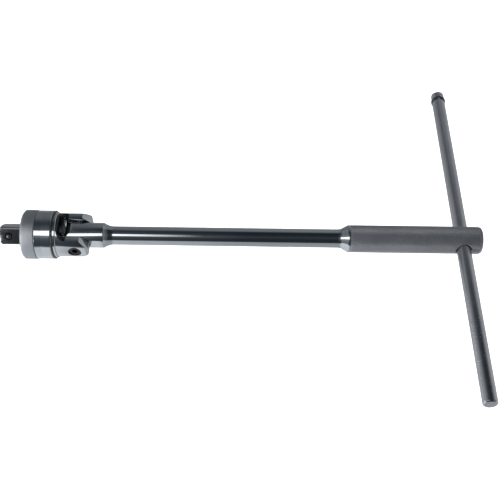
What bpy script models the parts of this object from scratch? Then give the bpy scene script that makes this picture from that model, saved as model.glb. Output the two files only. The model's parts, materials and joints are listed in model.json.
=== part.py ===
"""A ratcheting T-handle with a flexible head, a sliding cross bar and a 3/8 in square drive.

The drive's end face is centred on the origin. The shaft runs along +X to its grip, the
cross bar and the head's pivot lie along Y, and +Z is up. Sizes are in millimetres and
become metres through MM where an object is made.
"""

import math

import bmesh
import bpy
from mathutils import Matrix, Vector

MM = 0.001
SEGMENTS = 40
SMALL_SEGMENTS = 24

# The square drive. DRIVE_TURN turns the face with the ball away from +Z, about X.
DRIVE_SIDE = 9.45
DRIVE_EDGE_RADIUS = 0.8
DRIVE_LENGTH = 11.2
DRIVE_END_CHAMFER = 1.3
DRIVE_TURN = math.radians(52)
DRIVE_BALL_X = 4.9
DRIVE_BALL_RADIUS = 1.8
DRIVE_BALL_PROUD = 0.8
DRIVE_BALL_HOLE_RADIUS = 2.0
DRIVE_BALL_HOLE_FLOOR = -2.1

# The ratchet wheel and the journals either side of it.
JOURNAL_RADIUS = 6.0
WHEEL_FRONT, WHEEL_REAR = 21.0, 24.9
WHEEL_TIP_RADIUS, WHEEL_ROOT_RADIUS = 7.3, 6.5
WHEEL_TEETH = 24
REAR_JOURNAL_RADIUS = 3.5
REAR_JOURNAL_END = 27.0
JOURNAL_CLEARANCE = 0.1

# The ratchet body: nose, hub under the barrel, shoulder behind it, and fork.
NOSE_FRONT, NOSE_RADIUS = 14.0, 9.5
HUB_FRONT, HUB_RADIUS = 20.1, 11.6
BODY_BORE_RADIUS, BODY_BORE_END = 7.9, 25.2
BARREL_GROOVE_FRONT, BARREL_GROOVE_RADIUS = 29.0, 10.9
SHOULDER_FRONT, SHOULDER_RADIUS, SHOULDER_ROUND = 29.6, 12.2, 0.5
FORK_FRONT, FORK_RADIUS = 31.0, 11.65
SLOT_FLOOR, SLOT_WIDTH, SLOT_ROOT_RADIUS = 31.6, 12.8, 1.5
EAR_END, EAR_TOP, EAR_ROOT_RADIUS, EAR_CORNER_CUT, EAR_EDGE_RADIUS = 47.7, 6.7, 5.0, 4.4, 1.0

# The pivot that joins the fork to the shaft's tongue.
PIVOT_X = 40.6
PIVOT_RADIUS, PIVOT_BORE_RADIUS = 2.5, 2.6
SCREW_HEAD_RADIUS, SCREW_HEAD_FACE, SCREW_HEAD_SEAT = 3.2, 10.9, 8.75
SCREW_END = 10.8
SCREW_SOCKET_FLATS, SCREW_SOCKET_DEPTH = 3.0, 1.7
COUNTERBORE_RADIUS, COUNTERBORE_FLOOR = 3.45, 8.65

# The shaft from its tongue to its knurled grip.
TONGUE_RADIUS, TONGUE_WIDTH, TONGUE_SHOULDER_RADIUS = 6.75, 12.2, 10.2
COLLAR_END, TAPER_END, SHAFT_RADIUS = 55.1, 60.5, 5.0
FLARE_START, FLARE_END = 181.3, 186.3
GRIP_RADIUS, GRIP_END, GRIP_CHAMFER = 7.35, 257.1, 0.8

# The cross bar and what holds it in the grip.
BAR_X, BAR_RADIUS, BAR_BORE_RADIUS, BAR_BORE_COUNTERSINK = 247.3, 3.75, 4.0, 0.4
BAR_NEAR_END, BAR_FAR_END, BAR_CHAMFER = -96.7, 111.7, 0.6
STOP_RING_Y, STOP_RING_WIDTH, STOP_RING_OUTER, STOP_RING_INNER = 106.2, 1.6, 4.4, 3.45
STOP_GROOVE_RADIUS, STOP_GROOVE_WIDTH = 3.15, 2.0
FRICTION_HOLE_RADIUS, FRICTION_BALL_RADIUS = 1.6, 1.3
PLUG_RADIUS, PLUG_FRONT, PLUG_BACK = 1.45, 255.6, 256.9
PLUG_SOCKET_FLATS, PLUG_SOCKET_DEPTH = 1.3, 0.7

# The polished barrel and the ring that holds it.
BARREL_FRONT, BARREL_REAR, BARREL_RADIUS, BARREL_BORE_RADIUS = 20.1, 28.95, 13.0, 11.9
BARREL_RING_WIDTH, BARREL_RING_OUTER, BARREL_RING_INNER = 0.4, 13.0, 11.2

# The reversing ring on the nose, and its wire.
RING_FRONT, RING_REAR, RING_RADIUS, RING_CHAMFER = 12.6, 19.9, 13.2, 1.0
RING_MOUTH_RADIUS, RING_WALL_END, RING_BORE_RADIUS = 6.5, 13.7, 9.8
RING_WIRE_X, RING_WIRE_RADIUS, RING_WIRE_PATH_RADIUS = 17.5, 0.4, 9.65
RING_WIRE_GROOVE_WIDTH, NOSE_WIRE_GROOVE, RING_WIRE_GROOVE = 1.2, 9.0, 10.3

# The bush at the front of the spindle, and its snap ring.
BUSH_FRONT, BUSH_REAR, BUSH_RADIUS = 15.5, 20.6, 7.8
SNAP_FRONT, SNAP_WIDTH, SNAP_OUTER, SNAP_INNER = 14.5, 0.7, 8.3, 6.9
SNAP_GROOVE_FRONT, SNAP_GROOVE_REAR, SNAP_GROOVE_RADIUS = 14.35, 15.35, 8.5

# The pawl. At rest the finger holds its +Y tooth in the wheel.
PAWL_PIVOT_Z, PAWL_BORE_RADIUS = 8.9, 0.7
PAWL_FRONT, PAWL_REAR = 21.1, 24.8
PAWL_BACK_Z, PAWL_HALF_LENGTH = 10.0, 4.6
PAWL_ARC_RADIUS, PAWL_ARC_HALF_ANGLE = 7.85, math.radians(27)
PAWL_TOOTH_RADIUS, PAWL_TOOTH_ANGLE = 7.2, math.radians(30.4)
PAWL_ROCK = math.radians(6)
PAWL_PIN_RADIUS, PAWL_PIN_FRONT, PAWL_PIN_REAR = 0.55, 20.3, 26.6
LEAF_GAP, LEAF_THICKNESS, LEAF_HALF_LENGTH = 0.15, 0.2, 4.0
POCKET_FRONT, POCKET_REAR, POCKET_HALF_WIDTH, POCKET_FLOOR = 20.9, 25.1, 6.4, 5.0

# The finger that carries the reversing ring's turn to the pawl.
FINGER_RADIUS, FINGER_PATH_RADIUS, FINGER_FRONT, FINGER_REAR = 0.5, 11.1, 16.8, 24.2
FINGER_TURN = math.radians(12)
NOTCH_HALF_WIDTH, NOTCH_FLOOR = 3.3, 10.2

# The ball that clicks the reversing ring into its two places.
INDEX_PATH_RADIUS, INDEX_HOLE_RADIUS, INDEX_HOLE_FLOOR = 10.5, 0.75, 24.6
INDEX_BALL_RADIUS, INDEX_BALL_X = 0.6, 20.15
INDEX_TRACK_DEPTH, INDEX_TRACK_OUTER, INDEX_TRACK_MARGIN = 0.65, 11.3, math.radians(6)

# The ball that stiffens the head's hinge.
HINGE_HOLE_RADIUS, HINGE_HOLE_FLOOR, HINGE_BALL_RADIUS = 1.45, 28.0, 1.3
TOUCH_GAP = 0.05

# Frames that take a local axis to a world one.
Z_TO_X = Matrix.Rotation(math.radians(90), 4, "Y")
Z_TO_Y = Matrix.Rotation(math.radians(-90), 4, "X")
FLAT_ACROSS_X = Matrix(((0, 0, 1, 0), (1, 0, 0, 0), (0, 1, 0, 0), (0, 0, 0, 1)))
FLAT_ACROSS_Y = Matrix.Rotation(math.radians(90), 4, "X")

FINISHES = {
    "chrome": ((0.62, 0.64, 0.67), 1.0, 0.12),
    "satin_chrome": ((0.55, 0.56, 0.58), 1.0, 0.38),
    "dark_steel": ((0.09, 0.10, 0.095), 1.0, 0.34),
    "spring_steel": ((0.36, 0.36, 0.38), 1.0, 0.3),
    "ball_steel": ((0.6, 0.6, 0.62), 1.0, 0.1),
    "bronze": ((0.62, 0.42, 0.2), 1.0, 0.35),
}


def clear_scene():
    for obj in list(bpy.data.objects):
        bpy.data.objects.remove(obj)


def new_collection(name):
    collection = bpy.data.collections.new(name)
    bpy.context.scene.collection.children.link(collection)
    return collection


def make_finish(name):
    colour, metallic, roughness = FINISHES[name]
    finish = bpy.data.materials.new(name)
    finish.use_nodes = True
    shader = finish.node_tree.nodes["Principled BSDF"]
    shader.inputs["Base Color"].default_value = (*colour, 1)
    shader.inputs["Metallic"].default_value = metallic
    shader.inputs["Roughness"].default_value = roughness
    return finish


clear_scene()
PARTS = new_collection("flex_head_ratchet_t_handle")
CUTTERS = new_collection("cutters")
FINISH = {name: make_finish(name) for name in FINISHES}


def at(x, y=0, z=0):
    return Matrix.Translation(Vector((x, y, z)) * MM)


def place(name, data, frame, finish):
    """Links an object as a part, or as a cutter where finish is None."""
    obj = bpy.data.objects.new(name, data)
    obj.matrix_world = frame
    if finish is None:
        CUTTERS.objects.link(obj)
        obj.hide_render = True
        obj.display_type = "WIRE"
        return obj
    PARTS.objects.link(obj)
    data.materials.append(FINISH[finish])
    return obj


def turned(name, outline, frame, finish=None, segments=SEGMENTS):
    """Turns an outline of (radius, place along the axis), outer side top to bottom, about local Z."""
    closed = outline[0][0] > 0
    mesh = bpy.data.meshes.new(name)
    last = len(outline) if closed else len(outline) - 1
    edges = [(i, (i + 1) % len(outline)) for i in range(last)]
    mesh.from_pydata([(r * MM, 0, along * MM) for r, along in outline], edges, [])
    obj = place(name, mesh, frame, finish)
    screw = obj.modifiers.new("turn", "SCREW")
    screw.steps = screw.render_steps = segments
    screw.use_merge_vertices = True
    screw.merge_threshold = 0.000001
    screw.use_smooth_shade = True
    return obj


def plate(name, outline, thickness, frame, finish=None):
    """A flat outline of (x, y) in the frame's XY plane, as thick as given and centred on it."""
    curve = bpy.data.curves.new(name + "_outline", "CURVE")
    curve.dimensions = "2D"
    curve.fill_mode = "BOTH"
    curve.extrude = thickness / 2 * MM
    spline = curve.splines.new("POLY")
    spline.points.add(len(outline) - 1)
    for point, (x, y) in zip(spline.points, outline):
        point.co = (x * MM, y * MM, 0, 1)
    spline.use_cyclic_u = True
    guide = bpy.data.objects.new(name + "_guide", curve)
    PARTS.objects.link(guide)
    graph = bpy.context.evaluated_depsgraph_get()
    mesh = bpy.data.meshes.new_from_object(guide.evaluated_get(graph))
    bpy.data.objects.remove(guide)
    shape = bmesh.new()
    shape.from_mesh(mesh)
    bmesh.ops.remove_doubles(shape, verts=shape.verts, dist=1e-7)
    bmesh.ops.recalc_face_normals(shape, faces=shape.faces)
    shape.to_mesh(mesh)
    shape.free()
    mesh.shade_smooth()
    mesh.set_sharp_from_angle(angle=math.radians(30))
    mesh.materials.clear()
    return place(name, mesh, frame, finish)


def rod(name, radius, start, end, frame, finish=None, segments=SMALL_SEGMENTS):
    """A cylinder along the frame's Z, from start to end."""
    mesh = bpy.data.meshes.new(name)
    shape = bmesh.new()
    middle = at(0, 0, (start + end) / 2)
    bmesh.ops.create_cone(shape, cap_ends=True, segments=segments, radius1=radius * MM,
                          radius2=radius * MM, depth=(end - start) * MM, matrix=middle)
    shape.to_mesh(mesh)
    shape.free()
    mesh.shade_smooth()
    mesh.set_sharp_from_angle(angle=math.radians(40))
    return place(name, mesh, frame, finish)


def box(name, low, high):
    """A cutter from its lowest to its highest corner."""
    low, high = Vector(low), Vector(high)
    mesh = bpy.data.meshes.new(name)
    shape = bmesh.new()
    size = Matrix.Diagonal((*(high - low) * MM, 1))
    bmesh.ops.create_cube(shape, size=1, matrix=at(*(low + high) / 2) @ size)
    shape.to_mesh(mesh)
    shape.free()
    return place(name, mesh, Matrix(), None)


def ball(name, radius, centre, finish=None, segments=16):
    mesh = bpy.data.meshes.new(name)
    shape = bmesh.new()
    bmesh.ops.create_uvsphere(shape, u_segments=segments, v_segments=segments * 5 // 8, radius=radius * MM)
    shape.to_mesh(mesh)
    shape.free()
    mesh.shade_smooth()
    return place(name, mesh, at(*centre), finish)


def wire(name, points, radius, frame, finish, closed=False):
    """A round wire through points given in the frame's own axes."""
    curve = bpy.data.curves.new(name, "CURVE")
    curve.dimensions = "3D"
    curve.bevel_depth = radius * MM
    curve.bevel_resolution = 1
    curve.use_fill_caps = True
    spline = curve.splines.new("POLY")
    spline.points.add(len(points) - 1)
    for point, co in zip(spline.points, points):
        point.co = (*Vector(co) * MM, 1)
    spline.use_cyclic_u = closed
    return place(name, curve, frame, finish)


def coil(name, turns, path_radius, wire_radius, start, end, frame):
    """A compression spring along the frame's Z. Its outer ends lie at start and end."""
    first, last = start + wire_radius, end - wire_radius
    count = round(turns * 10)
    points = []
    for i in range(count + 1):
        angle = 2 * math.pi * turns * i / count
        along = first + (last - first) * i / count
        points.append((path_radius * math.cos(angle), path_radius * math.sin(angle), along))
    return wire(name, points, wire_radius, frame, "spring_steel")


def combine(target, tool, operation):
    boolean = target.modifiers.new(tool.name, "BOOLEAN")
    boolean.operation = operation
    boolean.solver = "EXACT"
    boolean.object = tool


def cut(target, *tools):
    for tool in tools:
        combine(target, tool, "DIFFERENCE")


def soften(obj, width, segments=2):
    bevel = obj.modifiers.new("edges", "BEVEL")
    bevel.width = width * MM
    bevel.segments = segments
    bevel.limit_method = "ANGLE"
    bevel.angle_limit = math.radians(40)


def group(name, frame, pieces, parent=None):
    """An empty on a joint's axis that carries its pieces and stays where they are."""
    pivot = bpy.data.objects.new(name, None)
    pivot.empty_display_size = 0.01
    pivot.matrix_world = frame
    PARTS.objects.link(pivot)
    for piece in pieces:
        piece.parent = pivot
        piece.matrix_parent_inverse = frame.inverted()
    if parent:
        pivot.parent = parent
        pivot.matrix_parent_inverse = parent.matrix_world.inverted()
    return pivot


def polar(radius, angle):
    """A point (y, z) at an angle that grows from +Z towards +Y."""
    return radius * math.sin(angle), radius * math.cos(angle)


def arc(centre, radius, first, last, steps):
    """Points from one angle to another, counted from the first axis towards the second."""
    angles = [first + (last - first) * i / steps for i in range(steps + 1)]
    return [(centre[0] + radius * math.cos(a), centre[1] + radius * math.sin(a)) for a in angles]


def open_ring(outer, inner, gap, gap_at, steps=40):
    """The outline of a flat ring with a gap, whose middle is at the angle gap_at."""
    first, last = gap_at + gap / 2, gap_at + 2 * math.pi - gap / 2
    return arc((0, 0), outer, first, last, steps) + arc((0, 0), inner, last, first, steps)


def rounded_square(side, radius, turn):
    points = []
    for corner in range(4):
        middle = math.radians(45 + 90 * corner)
        reach = (side / 2 - radius) * math.sqrt(2)
        centre = (reach * math.cos(middle), reach * math.sin(middle))
        points += arc(centre, radius, middle - math.pi / 4, middle + math.pi / 4, 3)
    cos, sin = math.cos(turn), math.sin(turn)
    return [(y * cos - z * sin, y * sin + z * cos) for y, z in points]


def hexagon(flats):
    return arc((0, 0), flats / math.sqrt(3), 0, 2 * math.pi * 5 / 6, 5)


# Handle


def flare_rise(share):
    """How much of the way from the shaft's radius to the grip's: steep at first, then easing out."""
    return (math.sin(math.pi * share / 2) + (1 - math.cos(math.pi * share)) / 2) / 2


def shaft_outline():
    """The shaft's half-section: the friction ball's hole, then from the grip's end to the tongue."""
    outline = [(0, BAR_X), (FRICTION_HOLE_RADIUS, BAR_X), (FRICTION_HOLE_RADIUS, GRIP_END)]
    outline += [(GRIP_RADIUS - GRIP_CHAMFER, GRIP_END), (GRIP_RADIUS, GRIP_END - GRIP_CHAMFER)]
    for i in range(9):
        share = 1 - i / 8
        along = FLARE_START + (FLARE_END - FLARE_START) * share
        outline.append((SHAFT_RADIUS + (GRIP_RADIUS - SHAFT_RADIUS) * flare_rise(share), along))
    for i in range(6):
        share = 1 - i / 6
        along = COLLAR_END + (TAPER_END - COLLAR_END) * share
        outline.append((SHAFT_RADIUS + (TONGUE_RADIUS - SHAFT_RADIUS) * (1 - share) ** 2, along))
    front = PIVOT_X - TONGUE_RADIUS - 1
    return outline + [(TONGUE_RADIUS, COLLAR_END), (TONGUE_RADIUS, front), (0, front)]


def tongue_side():
    """The shaft seen from its side, with the tongue's end round about the pivot."""
    reach = GRIP_RADIUS + 2
    outline = [(PIVOT_X, reach)] + arc((PIVOT_X, 0), TONGUE_RADIUS, math.pi / 2, math.pi * 3 / 2, 20)
    return outline + [(PIVOT_X, -reach), (GRIP_END + 2, -reach), (GRIP_END + 2, reach)]


def make_handle_shaft():
    shaft = turned("handle_shaft", shaft_outline(), Z_TO_X, "chrome")
    combine(shaft, plate("tongue_side", tongue_side(), 30, FLAT_ACROSS_Y), "INTERSECT")
    pivot = at(PIVOT_X) @ Z_TO_Y
    flat = TONGUE_WIDTH / 2
    cut(shaft,
        rod("tongue_flat_near", TONGUE_SHOULDER_RADIUS, -9, -flat, pivot, segments=SEGMENTS),
        rod("tongue_flat_far", TONGUE_SHOULDER_RADIUS, flat, 9, pivot, segments=SEGMENTS),
        rod("tongue_bore", PIVOT_BORE_RADIUS, -9, 9, pivot))
    rim = BAR_BORE_RADIUS + BAR_BORE_COUNTERSINK
    deep, past = GRIP_RADIUS - BAR_BORE_COUNTERSINK - 0.4, GRIP_RADIUS + 1
    flare = rim + past - GRIP_RADIUS
    bore = [(0, past), (flare, past), (BAR_BORE_RADIUS, deep), (BAR_BORE_RADIUS, -deep), (flare, -past), (0, -past)]
    cut(shaft, turned("bar_bore", bore, at(BAR_X) @ Z_TO_Y, segments=32))
    return shaft


def make_bar_friction():
    front = BAR_X + BAR_RADIUS + TOUCH_GAP
    centre = front + FRICTION_BALL_RADIUS
    plug = rod("bar_friction_plug", PLUG_RADIUS, PLUG_FRONT, PLUG_BACK, Z_TO_X, "dark_steel")
    mouth = PLUG_BACK - PLUG_SOCKET_DEPTH / 2 + 0.5
    socket = plate("plug_socket", hexagon(PLUG_SOCKET_FLATS), PLUG_SOCKET_DEPTH + 1, at(mouth) @ FLAT_ACROSS_X)
    cut(plug, socket)
    return [
        ball("bar_friction_ball", FRICTION_BALL_RADIUS, (centre, 0, 0), "ball_steel", 12),
        coil("bar_friction_spring", 2.5, 1.15, 0.18, centre + 0.8, PLUG_FRONT - 0.1, Z_TO_X),
        plug,
    ]


def make_sliding_bar():
    chamfer = BAR_RADIUS - BAR_CHAMFER
    half = STOP_GROOVE_WIDTH / 2
    outline = [
        (0, BAR_FAR_END), (chamfer, BAR_FAR_END), (BAR_RADIUS, BAR_FAR_END - BAR_CHAMFER),
        (BAR_RADIUS, STOP_RING_Y + half), (STOP_GROOVE_RADIUS, STOP_RING_Y + half),
        (STOP_GROOVE_RADIUS, STOP_RING_Y - half), (BAR_RADIUS, STOP_RING_Y - half),
        (BAR_RADIUS, BAR_NEAR_END + BAR_CHAMFER), (chamfer, BAR_NEAR_END), (0, BAR_NEAR_END),
    ]
    bar = turned("t_bar", outline, at(BAR_X) @ Z_TO_Y, "satin_chrome", segments=40)
    ring_outline = open_ring(STOP_RING_OUTER, STOP_RING_INNER, math.radians(30), math.radians(90), 24)
    ring_frame = at(BAR_X, STOP_RING_Y) @ FLAT_ACROSS_Y
    ring = plate("bar_stop_ring", ring_outline, STOP_RING_WIDTH, ring_frame, "dark_steel")
    soften(ring, 0.2)
    return [bar, ring]


# Head


def body_outline():
    """The ratchet body's half-section before the fork is cut: outer side, then the bores."""
    wire_rear, wire_front = (RING_WIRE_X + side * RING_WIRE_GROOVE_WIDTH / 2 for side in (1, -1))
    edge, rounding = EAR_EDGE_RADIUS, SHOULDER_ROUND
    return [
        (0, EAR_END), *arc((FORK_RADIUS - edge, EAR_END - edge), edge, math.pi / 2, 0, 3),
        (FORK_RADIUS, FORK_FRONT),
        *arc((SHOULDER_RADIUS - rounding, FORK_FRONT - rounding), rounding, math.pi / 2, 0, 4),
        (SHOULDER_RADIUS, SHOULDER_FRONT), (BARREL_GROOVE_RADIUS, SHOULDER_FRONT),
        (BARREL_GROOVE_RADIUS, BARREL_GROOVE_FRONT), (HUB_RADIUS, BARREL_GROOVE_FRONT),
        (HUB_RADIUS, HUB_FRONT), (NOSE_RADIUS, HUB_FRONT),
        (NOSE_RADIUS, wire_rear), (NOSE_WIRE_GROOVE, wire_rear),
        (NOSE_WIRE_GROOVE, wire_front), (NOSE_RADIUS, wire_front),
        (NOSE_RADIUS, NOSE_FRONT), (BODY_BORE_RADIUS, NOSE_FRONT),
        (BODY_BORE_RADIUS, SNAP_GROOVE_FRONT), (SNAP_GROOVE_RADIUS, SNAP_GROOVE_FRONT),
        (SNAP_GROOVE_RADIUS, SNAP_GROOVE_REAR), (BODY_BORE_RADIUS, SNAP_GROOVE_REAR),
        (BODY_BORE_RADIUS, BODY_BORE_END), (REAR_JOURNAL_RADIUS + JOURNAL_CLEARANCE, BODY_BORE_END),
        (REAR_JOURNAL_RADIUS + JOURNAL_CLEARANCE, REAR_JOURNAL_END + 0.2), (0, REAR_JOURNAL_END + 0.2),
    ]


def ear_side():
    """The body seen from its side: flat-topped ears with cut corners, hollowed into the round part."""
    cut_off, root, reach = EAR_CORNER_CUT, EAR_ROOT_RADIUS, SHOULDER_RADIUS + 1
    upper = [(EAR_END, EAR_TOP - cut_off), (EAR_END - cut_off, EAR_TOP)]
    upper += arc((FORK_FRONT + root, EAR_TOP + root), root, math.pi * 3 / 2, math.pi, 8)
    upper += [(FORK_FRONT, reach), (NOSE_FRONT - 2, reach)]
    return upper + [(x, -z) for x, z in reversed(upper)]


def slot_section():
    """The fork's slot seen from above, round at its root and past the ears' end."""
    side, root = SLOT_WIDTH / 2, SLOT_ROOT_RADIUS
    upper = [(EAR_END + 2, side)]
    upper += arc((SLOT_FLOOR + root, side - root), root, math.pi / 2, math.pi, 5)
    return upper + [(x, -y) for x, y in reversed(upper)]


def make_ratchet_body():
    body = turned("ratchet_body", body_outline(), Z_TO_X, "chrome")
    combine(body, plate("ear_side", ear_side(), 40, FLAT_ACROSS_Y), "INTERSECT")
    pivot = at(PIVOT_X) @ Z_TO_Y
    notch_rear = POCKET_FRONT + 0.2
    cut(body,
        plate("fork_slot", slot_section(), 40, Matrix()),
        rod("pivot_bore", PIVOT_BORE_RADIUS, -14, 14, pivot),
        rod("pivot_counterbore", COUNTERBORE_RADIUS, -14, -COUNTERBORE_FLOOR, pivot, segments=32),
        box("pawl_pocket", (POCKET_FRONT, -POCKET_HALF_WIDTH, POCKET_FLOOR),
            (POCKET_REAR, POCKET_HALF_WIDTH, HUB_RADIUS + 2)),
        box("finger_notch", (HUB_FRONT - 0.2, -NOTCH_HALF_WIDTH, NOTCH_FLOOR),
            (notch_rear, NOTCH_HALF_WIDTH, HUB_RADIUS + 2)),
        rod("pawl_pin_hole", PAWL_PIN_RADIUS + JOURNAL_CLEARANCE, HUB_FRONT - 0.2, PAWL_PIN_REAR + 0.3,
            at(0, 0, PAWL_PIVOT_Z) @ Z_TO_X, segments=16),
        rod("index_hole", INDEX_HOLE_RADIUS, HUB_FRONT - 0.2, INDEX_HOLE_FLOOR,
            at(0, 0, -INDEX_PATH_RADIUS) @ Z_TO_X, segments=16),
        rod("hinge_hole", HINGE_HOLE_RADIUS, HINGE_HOLE_FLOOR, SLOT_FLOOR + 0.5, Z_TO_X))
    return body


def make_pivot_screw():
    outline = [
        (0, SCREW_END), (PIVOT_RADIUS - 0.4, SCREW_END), (PIVOT_RADIUS, SCREW_END - 0.4),
        (PIVOT_RADIUS, -SCREW_HEAD_SEAT), (SCREW_HEAD_RADIUS, -SCREW_HEAD_SEAT),
        (SCREW_HEAD_RADIUS, -SCREW_HEAD_FACE + 0.3), (SCREW_HEAD_RADIUS - 0.3, -SCREW_HEAD_FACE),
        (0, -SCREW_HEAD_FACE),
    ]
    screw = turned("pivot_screw", outline, at(PIVOT_X) @ Z_TO_Y, "dark_steel", segments=SMALL_SEGMENTS)
    middle = -SCREW_HEAD_FACE + SCREW_SOCKET_DEPTH / 2 - 0.5
    cut(screw, plate("screw_socket", hexagon(SCREW_SOCKET_FLATS), SCREW_SOCKET_DEPTH + 1,
                     at(PIVOT_X, middle) @ FLAT_ACROSS_Y))
    return screw


def make_barrel():
    outline = [
        (BARREL_RADIUS - 0.5, BARREL_REAR), (BARREL_RADIUS - 0.15, BARREL_REAR - 0.15),
        (BARREL_RADIUS, BARREL_REAR - 0.5), (BARREL_RADIUS, BARREL_FRONT + 0.2),
        (BARREL_RADIUS - 0.2, BARREL_FRONT), (BARREL_BORE_RADIUS, BARREL_FRONT), (BARREL_BORE_RADIUS, BARREL_REAR),
    ]
    barrel = turned("ratchet_barrel", outline, Z_TO_X, "chrome")
    middle = (BARREL_GROOVE_FRONT + SHOULDER_FRONT) / 2
    ring_outline = open_ring(BARREL_RING_OUTER, BARREL_RING_INNER, math.radians(12), math.radians(-60))
    ring = plate("barrel_retaining_ring", ring_outline, BARREL_RING_WIDTH, at(middle) @ FLAT_ACROSS_X, "dark_steel")
    soften(ring, 0.15, 1)
    return [barrel, ring]


def make_bearing():
    bore = JOURNAL_RADIUS + JOURNAL_CLEARANCE
    outline = [(BUSH_RADIUS, BUSH_REAR), (BUSH_RADIUS, BUSH_FRONT), (bore, BUSH_FRONT), (bore, BUSH_REAR)]
    bush = turned("spindle_bush", outline, Z_TO_X, "bronze")
    ring_outline = open_ring(SNAP_OUTER, SNAP_INNER, math.radians(40), 0, 24)
    ring = plate("spindle_snap_ring", ring_outline, SNAP_WIDTH,
                 at(SNAP_FRONT + SNAP_WIDTH / 2) @ FLAT_ACROSS_X, "spring_steel")
    return [bush, ring]


def make_hinge_stiffener():
    centre = PIVOT_X - TONGUE_RADIUS - TOUCH_GAP - HINGE_BALL_RADIUS
    return [
        ball("hinge_ball", HINGE_BALL_RADIUS, (centre, 0, 0), "ball_steel", 12),
        coil("hinge_spring", 3.5, 1.05, 0.2, HINGE_HOLE_FLOOR + 0.1, centre - 0.95, Z_TO_X),
    ]


def make_index_detent():
    return [
        ball("index_ball", INDEX_BALL_RADIUS, (INDEX_BALL_X, 0, -INDEX_PATH_RADIUS), "ball_steel", 12),
        coil("index_spring", 4.5, 0.42, 0.12, INDEX_BALL_X + 0.75, INDEX_HOLE_FLOOR - 0.1,
             at(0, 0, -INDEX_PATH_RADIUS) @ Z_TO_X),
    ]


def make_ring_wire():
    gap = math.radians(20)
    points = [(x, y, 0) for x, y in arc((0, 0), RING_WIRE_PATH_RADIUS, gap, 2 * math.pi - gap, 36)]
    return wire("ring_retaining_wire", points, RING_WIRE_RADIUS, at(RING_WIRE_X) @ FLAT_ACROSS_X, "spring_steel")


# Reversing ring


def make_reversing_ring():
    wire_rear, wire_front = (RING_WIRE_X + side * RING_WIRE_GROOVE_WIDTH / 2 for side in (1, -1))
    outline = [
        (RING_RADIUS - 0.2, RING_REAR), (RING_RADIUS, RING_REAR - 0.2), (RING_RADIUS, RING_FRONT + RING_CHAMFER),
        (RING_RADIUS - RING_CHAMFER, RING_FRONT), (RING_MOUTH_RADIUS, RING_FRONT),
        (RING_MOUTH_RADIUS, RING_WALL_END), (RING_BORE_RADIUS, RING_WALL_END),
        (RING_BORE_RADIUS, wire_front), (RING_WIRE_GROOVE, wire_front),
        (RING_WIRE_GROOVE, wire_rear), (RING_BORE_RADIUS, wire_rear), (RING_BORE_RADIUS, RING_REAR),
    ]
    ring = turned("reversing_ring", outline, Z_TO_X, "satin_chrome")
    y, z = polar(FINGER_PATH_RADIUS, FINGER_TURN)
    finger_frame = at(0, y, z) @ Z_TO_X
    first = math.radians(-90) - INDEX_TRACK_MARGIN
    last = math.radians(-90) + INDEX_TRACK_MARGIN
    first -= 2 * FINGER_TURN
    track = arc((0, 0), INDEX_TRACK_OUTER, first, last, 8) + arc((0, 0), RING_BORE_RADIUS - 0.3, last, first, 8)
    cut(ring,
        rod("finger_hole", FINGER_RADIUS + JOURNAL_CLEARANCE, FINGER_FRONT - 0.2, RING_REAR + 0.5,
            finger_frame, segments=16),
        plate("index_track", track, INDEX_TRACK_DEPTH * 2, at(RING_REAR) @ FLAT_ACROSS_X))
    for number in range(2):
        y, z = polar(INDEX_PATH_RADIUS, math.pi + number * 2 * FINGER_TURN)
        cut(ring, ball(f"index_dimple_{number}", 0.75, (RING_REAR - INDEX_TRACK_DEPTH, y, z), segments=12))
    finger = rod("selector_finger", FINGER_RADIUS, FINGER_FRONT, FINGER_REAR, finger_frame, "spring_steel", 16)
    return [ring, finger]


# Pawl


def pawl_outline():
    """The pawl's (y, z) outline about its pivot when it is level, with a tooth at each end."""
    half = [(0, PAWL_BACK_Z), (PAWL_HALF_LENGTH, PAWL_BACK_Z), (5.3, 9.3), (5.1, 7.2)]
    half.append(polar(PAWL_TOOTH_RADIUS, PAWL_TOOTH_ANGLE))
    for i in range(5):
        half.append(polar(PAWL_ARC_RADIUS, PAWL_ARC_HALF_ANGLE * (1 - i / 4)))
    half = [(y, z - PAWL_PIVOT_Z) for y, z in half]
    return half + [(-y, z) for y, z in reversed(half[1:-1])]


def make_pawl():
    tilt = at(0, 0, PAWL_PIVOT_Z) @ Matrix.Rotation(-PAWL_ROCK, 4, "X")
    middle = at((PAWL_FRONT + PAWL_REAR) / 2)
    pawl = plate("ratchet_pawl", pawl_outline(), PAWL_REAR - PAWL_FRONT, middle @ tilt @ FLAT_ACROSS_X, "dark_steel")
    cut(pawl, rod("pawl_bore", PAWL_BORE_RADIUS, PAWL_FRONT - 1, PAWL_REAR + 1,
                  at(0, 0, PAWL_PIVOT_Z) @ Z_TO_X, segments=16))
    low = PAWL_BACK_Z - PAWL_PIVOT_Z + LEAF_GAP
    high = low + LEAF_THICKNESS
    reach = LEAF_HALF_LENGTH
    leaf_outline = [(-reach, low), (reach, low), (reach, high), (-reach, high)]
    leaf = plate("pawl_leaf_spring", leaf_outline, PAWL_REAR - PAWL_FRONT - 0.4,
                 middle @ tilt @ FLAT_ACROSS_X, "spring_steel")
    return [pawl, leaf]


# Drive


def wheel_outline():
    """The ratchet wheel's teeth, alike both ways, with a valley at +Z."""
    pitch = 2 * math.pi / WHEEL_TEETH
    land = math.radians(1.4)
    points = []
    for tooth in range(WHEEL_TEETH):
        middle = (tooth + 0.5) * pitch
        points += [polar(WHEEL_ROOT_RADIUS, middle - pitch / 2 + land), polar(WHEEL_TIP_RADIUS, middle - land)]
        points += [polar(WHEEL_TIP_RADIUS, middle + land), polar(WHEEL_ROOT_RADIUS, middle + pitch / 2 - land)]
    return points


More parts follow.
